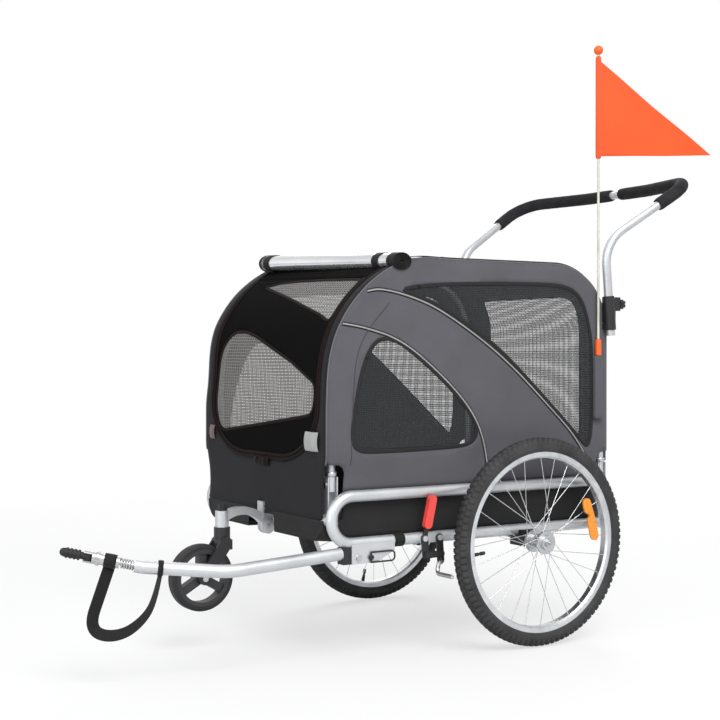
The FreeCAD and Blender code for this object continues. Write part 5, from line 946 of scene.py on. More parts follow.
class TRAILER_OT_make_tub(bpy.types.Operator):
    """The black lower tub with soft corners, and the padded floor mat"""
    bl_idname = "trailer.make_tub"
    bl_label = "Make the tub and mat"

    def execute(self, context):
        half, nose, rear = CABIN_HALF - TUB_INSET, NOSE_Y + TUB_INSET, REAR_Y - TUB_INSET
        made = [*self.make_walls(half, nose, rear), *self.make_corners(half, nose)]
        slot, step, back = (TUB_SLOT_HALF, TUB_SLOT_Y), (half, TUB_STEP_Y), (TUB_REAR_HALF, TUB_STEP_Y)
        floor = mirrored([slot, (TUB_SLOT_HALF, nose), (half - TUB_CUT, nose), (half, nose + TUB_CUT), step,
                          back, (TUB_REAR_HALF, rear)])
        floor = np.roll(floor, -2, axis=0)
        flat, faces = cloth_region(floor, [], TUB_GRID)
        lifted = metres(np.stack([flat[:, 0], flat[:, 1], np.full(len(flat), TUB_BASE)], axis=1))
        bottom = cloth_piece("tub_floor_cloth", flat, faces, lifted, (0, 0, -1), "trailer", "tub cloth",
                             "tub_cloth", ("lower_tub",))
        sewn = [thicken(piece("tub_" + name, *grid(rows), "trailer", finish("tub cloth"), "tub_cloth"),
                        TUB_WALL, 0.0) for name, rows in made]
        make_sheet(flat, faces, lifted)
        self.make_mat()
        return {"FINISHED"}

    def make_walls(self, half, nose, rear):
        """Four walls from stations of x, y, foot and top, drawn in by sag * sin up them, in slow waves."""
        sides = [(y, self.corner_rise(nose + TUB_CUT - y), top) for y, top in self.side_heights(nose)]
        walls = {
            "left_wall": [(half, y, TUB_BASE + up, top) for y, up, top in sides],
            "right_wall": [(-half, y, TUB_BASE + up, top) for y, up, top in sides],
            "front_wall": [(x, nose, self.front_foot(abs(x), half), NOSE_Z)
                           for x in np.linspace(-half, half, 131)],
            "rear_wall": [(x, rear, TUB_BASE, SIDE_FOOT_Z)
                          for x in np.linspace(-TUB_REAR_HALF, TUB_REAR_HALF, 60)],
        }
        share = np.linspace(0, 1, 9)
        for name, stations in walls.items():
            table = np.array(stations)
            rows = np.empty((len(share), len(table), 3))
            rows[..., 0], rows[..., 1] = table[:, 0], table[:, 1]
            rows[..., 2] = table[:, 2] + (table[:, 3] - table[:, 2]) * share[:, None]
            slow = 0.6 + 0.4 * np.sin(table[:, 1] * 0.045 + table[:, 0] * 0.04)
            sag = TUB_SAG * np.sin(share * math.pi)[:, None] * slow
            inward = -np.sign(table[:, 0]) if "left" in name or "right" in name else 0.0
            rows[..., 0] += inward * sag
            rows[..., 1] += (1.0 if "front" in name else -1.0 if "rear" in name else 0.0) * sag
            yield name, metres(rows)

    def make_corners(self, half, nose):
        """Two front corners: straight lines from the front wall's foot to the side wall's foot."""
        into = np.linspace(0, TUB_CUT, 15)
        lift = np.array([TUB_BASE + self.corner_rise(step) for step in into])
        weights = np.linspace(0, 1, 9)[:, None, None]
        for name, side in SIDES:
            front = np.stack([side * (half - TUB_CUT + into), np.full(15, nose), lift], axis=1)
            flank = np.stack([np.full(15, side * half), nose + TUB_CUT - into, lift], axis=1)
            yield name + "_corner", metres(front * (1 - weights) + flank * weights)

    def corner_rise(self, into):
        """How far the foot of a wall is drawn up at a step into a corner: a quarter circle."""
        return TUB_CUT - math.sqrt(TUB_CUT ** 2 - min(max(into, 0.0), TUB_CUT) ** 2)

    def front_foot(self, x, half):
        """Height of the front wall's foot: over the slot in the middle, and drawn up at the corners."""
        return TUB_SLOT_Z if x < TUB_SLOT_HALF else TUB_BASE + self.corner_rise(x - half + TUB_CUT)

    def side_heights(self, nose):
        """Stations along a side wall with its top edge: high between the hinges and low at their feet."""
        low = [(y, NOSE_Z) for y in np.linspace(nose, TUB_LOW_END_Y, 20)]
        return low + [(y, TUB_SIDE_Z) for y in np.linspace(TUB_HIGH_START_Y, TUB_STEP_Y, 90)]

    def make_mat(self):
        """A quilted pad: superellipse plan, sides pulled in between the corners, swollen, then sewn.

        z = height * (1 - r^7)^0.5 above a flat base, less a groove exp(-(d / w)^2) at each channel.
        """
        low, high, middle, size = box_of("floor_mat")
        ring = np.linspace(0, 2 * math.pi, 145)
        corner = (np.abs(np.cos(ring)) ** 8 + np.abs(np.sin(ring)) ** 8) ** (-1 / 8)
        pull = 1 - MAT_PULL_SHARE * np.cos(4 * ring + math.pi) - MAT_PULL_SHARE
        plan = np.stack([np.cos(ring), np.sin(ring)], axis=1) * (corner * pull)[:, None]
        share = np.linspace(0, 1, 60)
        top = plan[None] * share[:, None, None]
        height = np.sqrt(np.clip(1 - share ** 7, 0, 1))
        x, y = top[..., 0] * size[0], top[..., 1] * size[1]
        lift = low[2] + MAT_EDGE + (high[2] - low[2] - 2 * MAT_EDGE) * height[:, None] + 0 * x
        upper = np.stack([middle[0] + x, middle[1] + y, lift], axis=-1)
        under = np.stack([middle[0] + x[::-1] * MAT_UNDER_SHARE, middle[1] + y[::-1] * MAT_UNDER_SHARE,
                          np.full_like(x, low[2] + MAT_GAP)], axis=-1)
        mat = piece("padded_floor_mat", *grid(np.concatenate([upper, under])), "trailer", finish("mat cloth"),
                    "mat_cloth", ("floor_mat",))
        swell(mat, MAT_VOXEL, MAT_PRESSURE, MAT_SWELL)
        points = vertices(mat)
        share = np.clip((points[:, 2] - low[2] - CHANNEL_FOOT) / CHANNEL_RISE, 0, 1)
        offset = points[:, :2] - middle[:2]
        along = sum(np.exp(-((offset[:, 1] - place) / CHANNEL_WIDE) ** 2) for place in CHANNELS_ALONG)
        across = sum(np.exp(-((offset[:, 0] - place) / CHANNEL_WIDE) ** 2) for place in CHANNELS_ACROSS)
        sunk = CHANNEL_DEEP * (along + across) * share
        points[:, 2] = np.clip(points[:, 2] - sunk, low[2] + MAT_GAP, high[2])
        mat.data.vertices.foreach_set("co", points.ravel())
        mat.data.update()


def vertices(made):
    """A piece's points as an array."""
    points = np.empty(len(made.data.vertices) * 3)
    made.data.vertices.foreach_get("co", points)
    return points.reshape(-1, 3)


def swell(made, voxel, pressure, most):
    """Remesh a closed piece, blow it up as cloth for twenty frames, and cap each point's move."""
    bpy.context.view_layer.objects.active = made
    remesh = made.modifiers.new("remesh", "REMESH")
    remesh.voxel_size = voxel
    bpy.ops.object.modifier_apply(modifier=remesh.name)
    start = vertices(made)
    cloth = made.modifiers.new("cloth", "CLOTH")
    cloth.settings.use_pressure = True
    cloth.settings.uniform_pressure_force = pressure
    cloth.settings.effector_weights.gravity = 0.0
    scene = bpy.context.scene
    for step in range(1, 21):
        scene.frame_set(step)
    bpy.ops.object.modifier_apply(modifier=cloth.name)
    move = vertices(made) - start
    length = np.linalg.norm(move, axis=1, keepdims=True)
    move = move * np.minimum(1.0, most / np.maximum(length, 1e-9))
    made.data.vertices.foreach_set("co", (start + move).ravel())
    scene.frame_set(1)
    made.data.shade_smooth()


# Rolled cover: the middles of its two ends, its half sizes, where its clear part ends, and its tail strap

ROLL_FAR, ROLL_NEAR, ROLL_WIDE, ROLL_TALL = (-274.0, -380.0, 920.0), (294.0, -342.0, 896.0), 26.0, 19.0
ROLL_TURNS, ROLL_CORE, ROLL_CLEAR_SHARE, ROLL_TIE = 8.25, 0.16, 0.965, 1.6
ROLL_TIES = (("far_end", -0.002, 0.016), ("far_strap", 0.032, 0.074), ("near_strap", 0.855, 0.895),
             ("near_end", 0.955, 1.002))
ROLL_TAIL = ((284, -322, 906), (281, -300, 909), (277, -276, 910.5), (271, -250, 910.5), (266, -222, 910))
ROLL_TAIL_ACROSS, ROLL_TAIL_WIDTH, ROLL_TAIL_THICK = (1.0, 0.25, 0.0), 0.022, 0.0018


class TRAILER_OT_make_roll(bpy.types.Operator):
    """The clear weather cover rolled up across the roof, with bound ends and straps"""
    bl_idname = "trailer.make_roll"
    bl_label = "Make the rolled cover"

    def execute(self, context):
        angle = np.linspace(0, 2 * math.pi * ROLL_TURNS, 300)
        radius = ROLL_CORE + (1 - ROLL_CORE) * angle / angle[-1]
        section = np.stack([np.cos(angle) * radius * ROLL_WIDE, np.sin(angle) * radius * ROLL_TALL], axis=1)
        turn = np.linspace(0, 2 * math.pi, 41)
        oval = np.stack([np.cos(turn) * (ROLL_WIDE + ROLL_TIE), np.sin(turn) * (ROLL_TALL + ROLL_TIE)],
                        axis=1)
        roll = self.stretch("rolled_clear_cover", 0.0, ROLL_CLEAR_SHARE, 57, section, "clear cover",
                            "cover_cloth", ("rolled_cover",))
        ties = [self.stretch("roll_near_hem", ROLL_CLEAR_SHARE, 1.0, 5, section, "webbing", "webbing")]
        for name, first, last in ROLL_TIES:
            ties.append(self.stretch(f"roll_{name}_binding", first, last, 7, oval, "webbing", "webbing"))
        tail = metres(resampled(eased(ROLL_TAIL, 2, False), 6.0, False))
        ties.append(ribbon("roll_tail_strap", tail, ROLL_TAIL_ACROSS, ROLL_TAIL_WIDTH, ROLL_TAIL_THICK,
                           "trailer"))
        length = float(np.linalg.norm(np.subtract(ROLL_NEAR, ROLL_FAR))) * MM
        wound = float(arc_shares(section * MM)[-1])
        return {"FINISHED"}

    def stretch(self, name, first, last, count, section, material, slot, stands_for=()):
        """A section drawn between two shares of the roll: size = 1.06 - 0.11 share, with small waves."""
        share = np.linspace(first, last, count)
        path = metres(np.outer(1 - share, ROLL_FAR) + np.outer(share, ROLL_NEAR))
        size = MM * (1.06 - 0.11 * share + 0.010 * np.sin(share * 17) + 0.006 * np.sin(share * 41))
        rows = swept(path, size, section=section)
        made = piece(name, *grid(rows), "trailer", finish(material), slot, stands_for)
        return thicken(made, TAPE_WALL, 0.0)


def ribbon(name, path, across, width, thick, body, stands_for=(), twist=0.0):
    """A flat strap: a rounded oblong section carried along a path, flat across a direction that may twist."""
    level = np.broadcast_to(np.asarray(across, float) / np.linalg.norm(across), path.shape)
    raised = np.cross(tangents(path), level)
    raised /= np.linalg.norm(raised, axis=1, keepdims=True)
    turn = np.broadcast_to(np.asarray(twist, float), (len(path),))[:, None]
    across = np.cos(turn) * level + np.sin(turn) * raised
    upright = np.cos(turn) * raised - np.sin(turn) * level
    angle = np.linspace(0, 2 * math.pi, 33)
    oblong = np.stack([rounded(np.cos(angle), 0.35) * width / 2, rounded(np.sin(angle), 0.7) * thick / 2],
                      axis=1)
    rows = capped(swept(path, 1.0, section=oblong, roll=(across, upright)))
    return piece(name, *grid(rows), body, finish("webbing"), "webbing", stands_for)


def rounded(wave, power):
    """A sine or cosine raised to a power with its sign kept, which squares up a round section."""
    return np.sign(wave) * np.abs(wave) ** power


# Safety strap: the plan of its two ends, its route as distance between them and height, and its twist

STRAP_START, STRAP_END = (203.0, -1006.0), (248.0, -911.0)
STRAP_ROUTE = ((0, 245.5), (-22, 180), (-36, 138), (-28, 112), (3, 103), (42, 113), (80, 148), (96, 190),
               (104, 228))
STRAP_TWIST_AT, STRAP_TWIST = (0.0, 0.12, 0.25, 0.5, 0.8, 1.0), (76, 74, 72, 62, 32, 20)
STRAP_WIDTH, STRAP_THICK, STRAP_KEEP = 0.025, 0.0022, 0.6
HITCH_MIDDLE, WRAP_RIM, WRAP_CROWN = (234, -945, 246), 0.0018, 0.0023

# Turns of webbing: name, end of the route, run and axis of the tube, its radius and half the turn's width
STRAP_WRAPS = (("sleeve", 0, (-56, -111, 26), (-0.441, -0.874, 0.205), 0.0127, 0.0125),
               ("arm", -1, (66, 164, -15), (-0.372, -0.925, 0.085), 0.0142, 0.0055))


class TRAILER_OT_make_strap(bpy.types.Operator):
    """The webbing safety strap that hangs below the hitch"""
    bl_idname = "trailer.make_strap"
    bl_label = "Make the safety strap"

    def execute(self, context):
        start, end = np.array([*STRAP_START, 0.0]), np.array([*STRAP_END, 0.0])
        along = (end - start) / np.linalg.norm(end - start)
        route = metres([start + along * u + np.array([0.0, 0.0, z]) for u, z in STRAP_ROUTE])
        path = spline_points(route)
        across = np.cross(along, [0.0, 0.0, 1.0])
        twist = np.radians(np.interp(np.linspace(0, 1, len(path)), STRAP_TWIST_AT, STRAP_TWIST))
        strap = ribbon("safety_strap_webbing", path, across, STRAP_WIDTH, STRAP_THICK, "tow_arm",
                       ("safety_strap",), twist)
        wraps = [self.make_wrap(name, route[end], *tube) for name, end, *tube in STRAP_WRAPS]
        float(arc_shares(path)[-1])
        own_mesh(strap)
        return {"FINISHED"}

    def make_wrap(self, name, point, run, axis, radius, half):
        """A turn of webbing round the sleeve or arm, at the foot of a strap's end on the hitch's line."""
        base, line = metres(HITCH_MIDDLE), np.array(run, float) / np.linalg.norm(run)
        centre = base + line * float(np.dot(point - base, line))
        rim, crown = radius + WRAP_RIM, radius + WRAP_CROWN
        profile = [(-half, radius), (-half, rim), (-half / 2, crown), (half / 2, crown), (half, rim),
                   (half, radius), (-half, radius)]
        rows = turned(profile, centre, np.array(axis) / np.linalg.norm(axis))
        return piece(f"strap_{name}_wrap", *grid(rows), "tow_arm", finish("webbing"), "webbing")


def spline_points(route):
    """Points along the smooth spline that has the route's points as its controls."""
    data = bpy.data.curves.new("route", "CURVE")
    data.dimensions = "3D"
    spline = data.splines.new("NURBS")
    spline.points.add(len(route) - 1)
    spline.points.foreach_set("co", np.concatenate([route, np.ones((len(route), 1))], axis=1).ravel())
    spline.order_u = 3
    spline.use_endpoint_u = True
    spline.resolution_u = 12
    holder = bpy.data.objects.new("route", data)
    mesh = bpy.data.meshes.new_from_object(holder)
    points = np.empty(len(mesh.vertices) * 3)
    mesh.vertices.foreach_get("co", points)
    bpy.data.objects.remove(holder)
    return points.reshape(-1, 3)


# Wheels, in metres: the tyre's section, the reflector's place on the spokes and the valve's stem and cap

TYRE_RADIUS, TYRE_WIDE, TYRE_TALL, TREAD_BLOCKS = 0.2263, 0.0215, 0.0185, 96
VALVE_AT = {"left": math.radians(185), "right": math.radians(260)}
VALVE_RADIUS = 0.197
VALVE_PROFILE = ((0.0, 0.0001), (0.0, 0.0042), (0.016, 0.0040), (0.017, 0.0030), (0.022, 0.0030),
                 (0.022, 0.0044), (0.033, 0.0041), (0.034, 0.0030), (0.034, 0.0001))
REFLECTOR_AT, REFLECTOR_RADIUS, REFLECTOR_OUT = math.radians(17), 0.152, 0.0125
REFLECTOR_HALF, REFLECTOR_THICK = 0.0150, 0.0042


class TRAILER_OT_make_tyres(bpy.types.Operator):
    """Knobbly tyres, spoke reflectors and valves"""
    bl_idname = "trailer.make_tyres"
    bl_label = "Make the tyres"

    def execute(self, context):
        gear = context.scene.trailer_gear
        turn = np.linspace(0, 2 * math.pi, 1 + TREAD_BLOCKS * 12)[:, None]
        section = np.linspace(0, 2 * math.pi, 57)[None, :]
        blocks = self.tread(turn, section) * gear.tread_depth
        outer = np.cos(section) > 0
        radius = TYRE_RADIUS + TYRE_TALL * np.cos(section) + 0 * turn
        offset = TYRE_WIDE * np.sin(section) + 0 * turn
        radius = radius + np.cos(section) * (blocks - gear.tread_depth) * outer
        offset = offset + np.sin(section) * (blocks - gear.tread_depth) * outer
        for name, side in SIDES:
            middle = box_of(name + "_tyre")[2]
            rows = np.stack([middle[0] + side * offset, middle[1] + radius * np.cos(turn),
                             middle[2] + radius * np.sin(turn)], axis=-1)
            rows = rows if side > 0 else rows[:, ::-1]
            piece(name + "_knobbly_tyre", *grid(rows), name + "_wheel", finish("tyre rubber"), "tyre_rubber",
                  (name + "_tyre",))
            self.make_reflector(name, side, middle, gear.reflector_length)
            self.make_valve(name, middle)
        return {"FINISHED"}

    def tread(self, turn, section):
        """Blocks in two staggered rows each side: square waves in turn, masked by place across the crown."""
        place = np.sin(section)
        crown = np.cos(section) > 0.15
        middle = (np.sin(TREAD_BLOCKS * turn + 2.4 * place) > -0.35) & (np.abs(place) < 0.36)
        shoulder = (np.sin(TREAD_BLOCKS * turn + np.pi * (place > 0)) > -0.2) & (np.abs(place) > 0.52) & crown
        wall = np.where(crown, 0.0, 0.55 + 0.1 * np.cos(section * 9))
        return np.where(middle | shoulder, 1.0, wall)

    def make_reflector(self, name, side, middle, length):
        """A pillow with a waist, half width = w * (0.74 + 0.26 u^2), notched to the hub, full to the rim."""
        u = np.linspace(-1, 1, 81)[:, None]
        angle = np.linspace(0, 2 * math.pi, 49)[None, :]
        waist = REFLECTOR_HALF * (0.74 + 0.26 * u ** 2) * np.sqrt(np.clip(1 - np.abs(u) ** 7, 0.02, 1))
        full, notch = 1 + 0.3 * np.exp(-(u / 0.4) ** 2), 1 - 0.9 * np.exp(-((u - 0.2) / 0.13) ** 2)
        wide = waist * np.where(np.cos(angle) > 0, full, notch) * rounded(np.cos(angle), 0.45)
        thick = REFLECTOR_THICK * rounded(np.sin(angle), 0.6) + 0 * u
        radial = np.array([0.0, math.cos(REFLECTOR_AT), math.sin(REFLECTOR_AT)])
        tangent = np.array([0.0, -math.sin(REFLECTOR_AT), math.cos(REFLECTOR_AT)])
        out = np.array([side, 0.0, 0.0])
        centre = middle + radial * REFLECTOR_RADIUS + out * REFLECTOR_OUT
        rows = centre + (u * length / 2)[..., None] * tangent + wide[..., None] * radial
        rows = rows + thick[..., None] * out
        rows = rows if side < 0 else rows[:, ::-1]
        piece(name + "_spoke_reflector", *grid(capped(rows)), name + "_wheel", finish("orange reflector"),
              "red_plastic")

    def make_valve(self, name, middle):
        """A turned valve stem and its cap, pointing from the rim to the hub."""
        inward = -np.array([0.0, math.cos(VALVE_AT[name]), math.sin(VALVE_AT[name])])
        rows = turned(VALVE_PROFILE, middle - inward * VALVE_RADIUS, inward, 20)
        piece(name + "_valve", *grid(rows), name + "_wheel", finish("soft rubber"), "soft_rubber")


# Flag: the pole's plan, the pennant's heights, length, yaw and lift at its tip, the ferrule and the ball

FLAG_POLE, FLAG_LOW, FLAG_HIGH, FLAG_LENGTH, FLAG_YAW = (298.0, 241.0), 1177.0, 1417.0, 298.0, 21.0
FLAG_TIP_LIFT, FLAG_WALL = 10.0, 0.0009
FERRULE_Z, BALL_Z, BALL_RADIUS, POLE_RADIUS = 682.5, 1440.0, 0.0116, 0.0031
FERRULE_PROFILE = ((0.0, 0.0032), (0.0, 0.0070), (0.002, 0.0078), (0.036, 0.0074), (0.040, 0.0060),
                   (0.040, 0.0032))


class TRAILER_OT_make_flag(bpy.types.Operator):
    """The pennant with its sleeve, and the pocket that holds the pole"""
    bl_idname = "trailer.make_flag"
    bl_label = "Make the flag"

    def execute(self, context):
        height = (FLAG_HIGH - FLAG_LOW) * MM
        foot = metres((*FLAG_POLE, FLAG_LOW))
        self.make_pennant(foot, height, context.scene.trailer_flag.ripple)
        sleeve = [(-0.006, POLE_RADIUS), (-0.006, 0.0046), (-0.004, 0.0064), (0.002, 0.0072),
                  (height, 0.0072), (height + 0.005, 0.0064), (height + 0.008, 0.0046),
                  (height + 0.009, POLE_RADIUS), (-0.006, POLE_RADIUS)]
        angle = np.linspace(0, math.pi, 25)
        ball = np.stack([-BALL_RADIUS * np.cos(angle), BALL_RADIUS * np.sin(angle)], axis=1)
        for name, profile, base, sides, material in (
                ("pennant_sleeve", sleeve, foot, 28, "flag nylon"),
                ("pole_ferrule_sleeve", FERRULE_PROFILE, metres((*FLAG_POLE, FERRULE_Z)), 28,
                 "orange plastic"),
                ("pole_tip_ball", ball, metres((*FLAG_POLE, BALL_Z)), 36, "orange plastic")):
            rows = turned(profile, base, (0, 0, 1), sides)
            piece(name, *grid(rows), "flag", finish(material), "flag_cloth")
        self.make_pocket()
        return {"FINISHED"}

    def make_pennant(self, foot, height, ripple):
        """A triangle that narrows from pole to tip: z = v * height * (1 - u), waved by sin along it."""
        yaw = math.radians(FLAG_YAW)
        out = np.array([math.sin(yaw), math.cos(yaw), 0.0])
        across = np.array([math.cos(yaw), -math.sin(yaw), 0.0])
        u, v = np.meshgrid(np.linspace(0, 1, 49), np.linspace(0, 1, 33))
        reach = u * FLAG_LENGTH * MM
        wave = ripple * np.sin(reach * 26 + v * 1.3) * np.clip(u * 2.2, 0, 1)
        rows = foot + reach[..., None] * out + wave[..., None] * across
        rows[..., 2] += v * height * (1 - u) + u * FLAG_TIP_LIFT * MM
        points, faces, _ = grid(rows)
        uv = np.stack([reach.ravel(), (v * height * (1 - u)).ravel()], axis=1)
        flag = piece("orange_pennant", points, faces, uv, "flag", finish("flag nylon"), "flag_cloth",
                     ("flag",))
        thicken(flag, FLAG_WALL, 0.0)

    def make_pocket(self):
        """A sewn pocket: an oblong tube whose section narrows to its hem, flat against the side."""
        low, high, middle, size = box_of("flag_pocket")
        share = np.linspace(0, 1, 31)[:, None]
        angle = np.linspace(0, 2 * math.pi, 49)[None, :]
        waist = 1 - 0.10 * np.sin(share * math.pi) + 0.015 * np.sin(share * 31)
        y = middle[1] + size[1] * rounded(np.cos(angle), 0.4) * waist
        depth = rounded(np.sin(angle), 0.7)
        x = middle[0] + size[0] * np.where(depth > 0, depth * 0.62 * waist, depth * 0.98)
        z = low[2] + (high[2] - low[2]) * share + 0 * angle
        rows = np.stack([x, y + 0 * share, z], axis=-1)[:, ::-1]
        pocket = piece("sewn_flag_pocket", *grid(capped(rows)), "trailer", finish("side cloth"), "side_cloth",
                       ("flag_pocket",))
        size = (float(arc_shares(rows[15])[-1]) * 0.56, float(high[2] - low[2]))


# Push handle: the corners of its left half, its bends, and how far down the leg the foam starts

HANDLE = ((303, 278, 732), (303, 259, 965), (345, 515, 1128), (120, 575, 1131))
HANDLE_BENDS, GRIP_START_SHARE, GRIP_END_X, GRIP_RADIUS = (80.0, 200.0), 0.6, 18.0, 16.4


def filleted(points, radii, step):
    """Points along straight runs joined by tangent arcs of the given radii."""
    line = [np.asarray(points[0], float)]
    for before, corner, after, radius in zip(points, points[1:], points[2:], radii):
        before, corner, after = (np.asarray(p, float) for p in (before, corner, after))
        a = (before - corner) / np.linalg.norm(before - corner)
        b = (after - corner) / np.linalg.norm(after - corner)
        half = math.acos(float(np.clip(np.dot(a, b), -1, 1))) / 2
        middle = (a + b) / np.linalg.norm(a + b)
        centre = corner + middle * radius / math.sin(half)
        sweep = math.pi / 2 - half
        turn = np.linspace(-sweep, sweep, 15)
        across = (b - a) / np.linalg.norm(b - a)
        line.extend(centre + radius * (np.outer(np.sin(turn), across) - np.outer(np.cos(turn), middle)))
    line.append(np.asarray(points[-1], float))
    return resampled(np.array(line), step, False)


class TRAILER_OT_make_grips(bpy.types.Operator):
    """Foam grips on the push handle"""
    bl_idname = "trailer.make_grips"
    bl_label = "Make the grips"

    def execute(self, context):
        leg = np.array(HANDLE[1]) + (np.array(HANDLE[2]) - np.array(HANDLE[1])) * GRIP_START_SHARE
        route = [leg, HANDLE[2], HANDLE[3], (GRIP_END_X, HANDLE[3][1], HANDLE[3][2])]
        path = filleted(route, HANDLE_BENDS, 6.0)
        share = np.linspace(0, 1, len(path))
        ends = np.minimum(share, 1 - share) * len(path)
        radius = GRIP_RADIUS - 1.6 * np.exp(-ends / 0.8) + 0.12 * np.sin(share * 90)
        for name, side in SIDES:
            rows = capped(swept(metres(path * [side, 1, 1]), radius * MM, 28))
            rows = rows if side > 0 else rows[:, ::-1]
            piece(name + "_foam_grip", *grid(rows), "handlebar", finish("grip foam"), "grip_foam",
                  ("handle_grips",) if side > 0 else ())
        return {"FINISHED"}


CAD_FINISH = {
    "silver coat": ("left_side_rail", "right_side_rail", "cross_tubes", "left_hoop", "right_hoop",
                    "handlebar", "tow_arm", "tow_bracket", "hinge_brackets", "brake_bracket", "caster_arm",
                    "caster_clamp"),
    "black coat": ("brake_lever", "brake_link"),
    "dipped steel": ("brake_arm",),
    "plated steel": ("frame_fasteners", "wheel_axles", "tow_bolt", "hitch_spring", "hitch_sleeve",
                     "hitch_clevis", "caster_pivot_pin", "caster_lock_clip", "caster_axle",
                     "left_axle_button", "right_axle_button"),
    "spoke steel": ("left_spokes", "right_spokes"),
    "rim alloy": ("left_rim", "right_rim"),
    "hub alloy": ("left_hub", "right_hub"),
    "black plastic": ("axle_brackets", "tow_plug", "tow_lock_pin", "handle_clamps", "left_clamp_knob",
                      "right_clamp_knob", "caster_knob", "caster_fork"),
    "grey plastic": ("caster_wheel",),
    "board plastic": ("floor_board",),
    "red plastic": ("brake_grip",),
    "soft rubber": ("hitch_coupler", "caster_tyre"),
    "fibreglass": ("flag_pole",),
}


class TRAILER_OT_finish_metalwork(bpy.types.Operator):
    """Finishes on the frame, wheels, hitch, caster, brake and handle"""
    bl_idname = "trailer.finish_metalwork"
    bl_label = "Finish the metalwork"

    def execute(self, context):
        for name, nodes in CAD_FINISH.items():
            for part in nodes:
                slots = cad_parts[part].data.materials
                slots.clear()
                slots.append(finish(name))
        return {"FINISHED"}


# Small trim: places in millimetres, and profiles of distance along and radius in metres

RAIL_X, COLLAR_X, COLLAR_Z = 300.0, 276.9, 421.5
RAIL_ENDS = (("lower", 283.0, 268.0), ("upper", 245.0, 372.0))
WRAP_PLACE = (RAIL_X, -359.0, 268.0)
CAP_PROFILE = ((-0.010, 0.0112), (0.0, 0.0114), (0.0, 0.0131), (0.003, 0.0133), (0.0065, 0.0118),
               (0.008, 0.008), (0.0085, 0.0001))
COLLAR_PROFILE = ((-0.005, 0.0096), (-0.005, 0.0122), (-0.0035, 0.0131), (0.0035, 0.0131), (0.005, 0.0122),
                  (0.005, 0.0096), (-0.005, 0.0096))
WRAP_PROFILE = ((-0.013, 0.0131), (-0.013, 0.0146), (-0.011, 0.0152), (0.011, 0.0152), (0.013, 0.0146),
                (0.013, 0.0131), (-0.013, 0.0131))


class TRAILER_OT_make_trim(bpy.types.Operator):
    """Rail end caps, hoop collars and a tied wrap on the left rail"""
    bl_idname = "trailer.make_trim"
    bl_label = "Make the small trim"

    def execute(self, context):
        for name, side in SIDES:
            for level, y, z in RAIL_ENDS:
                rows = turned(CAP_PROFILE, metres((side * RAIL_X, y, z)), (0, 1, 0), 32)
                piece(f"{name}_{level}_rail_cap", *grid(rows), "trailer", finish("black plastic"),
                      "black_plastic")
            for place, y in (("front", HINGE_FRONT_Y), ("rear", HINGE_REAR_Y)):
                rows = turned(COLLAR_PROFILE, metres((side * COLLAR_X, y, COLLAR_Z)), (0, 0, 1), 36)
                piece(f"{name}_{place}_hoop_collar", *grid(rows), "trailer", finish("hub alloy"), "alloy_hub")
        rows = turned(WRAP_PROFILE, metres(WRAP_PLACE), (0, 1, 0), 36)
        piece("lower_rail_wrap", *grid(rows), "trailer", finish("webbing"), "webbing")
        return {"FINISHED"}


# Stage: lamps in metres, as name, place, size and share of the key light, and the camera in millimetres

LAMPS = (("key", (3.2, -0.6, 3.4), 2.6, 1.0), ("fill", (1.2, -4.2, 1.8), 3.2, 0.42),
         ("back", (-2.6, 2.4, 3.0), 2.6, 0.5))
LAMP_TARGET = (0.0, 0.1, 0.55)
CAMERA_PLACE, CAMERA_TARGET, SENSOR_WIDTH = (2837.0, -2035.0, 686.0), (0.0, -271.0, 671.0), 36.0
FLOOR_PROFILE, FLOOR_Z = ((0.0, 0.0001), (0.0, 6.0), (0.0, 30.0)), -0.0006
FLOOR_GLOW = {"From Min": 1.2, "From Max": 3.4, "To Min": 0.62, "To Max": 1.0}


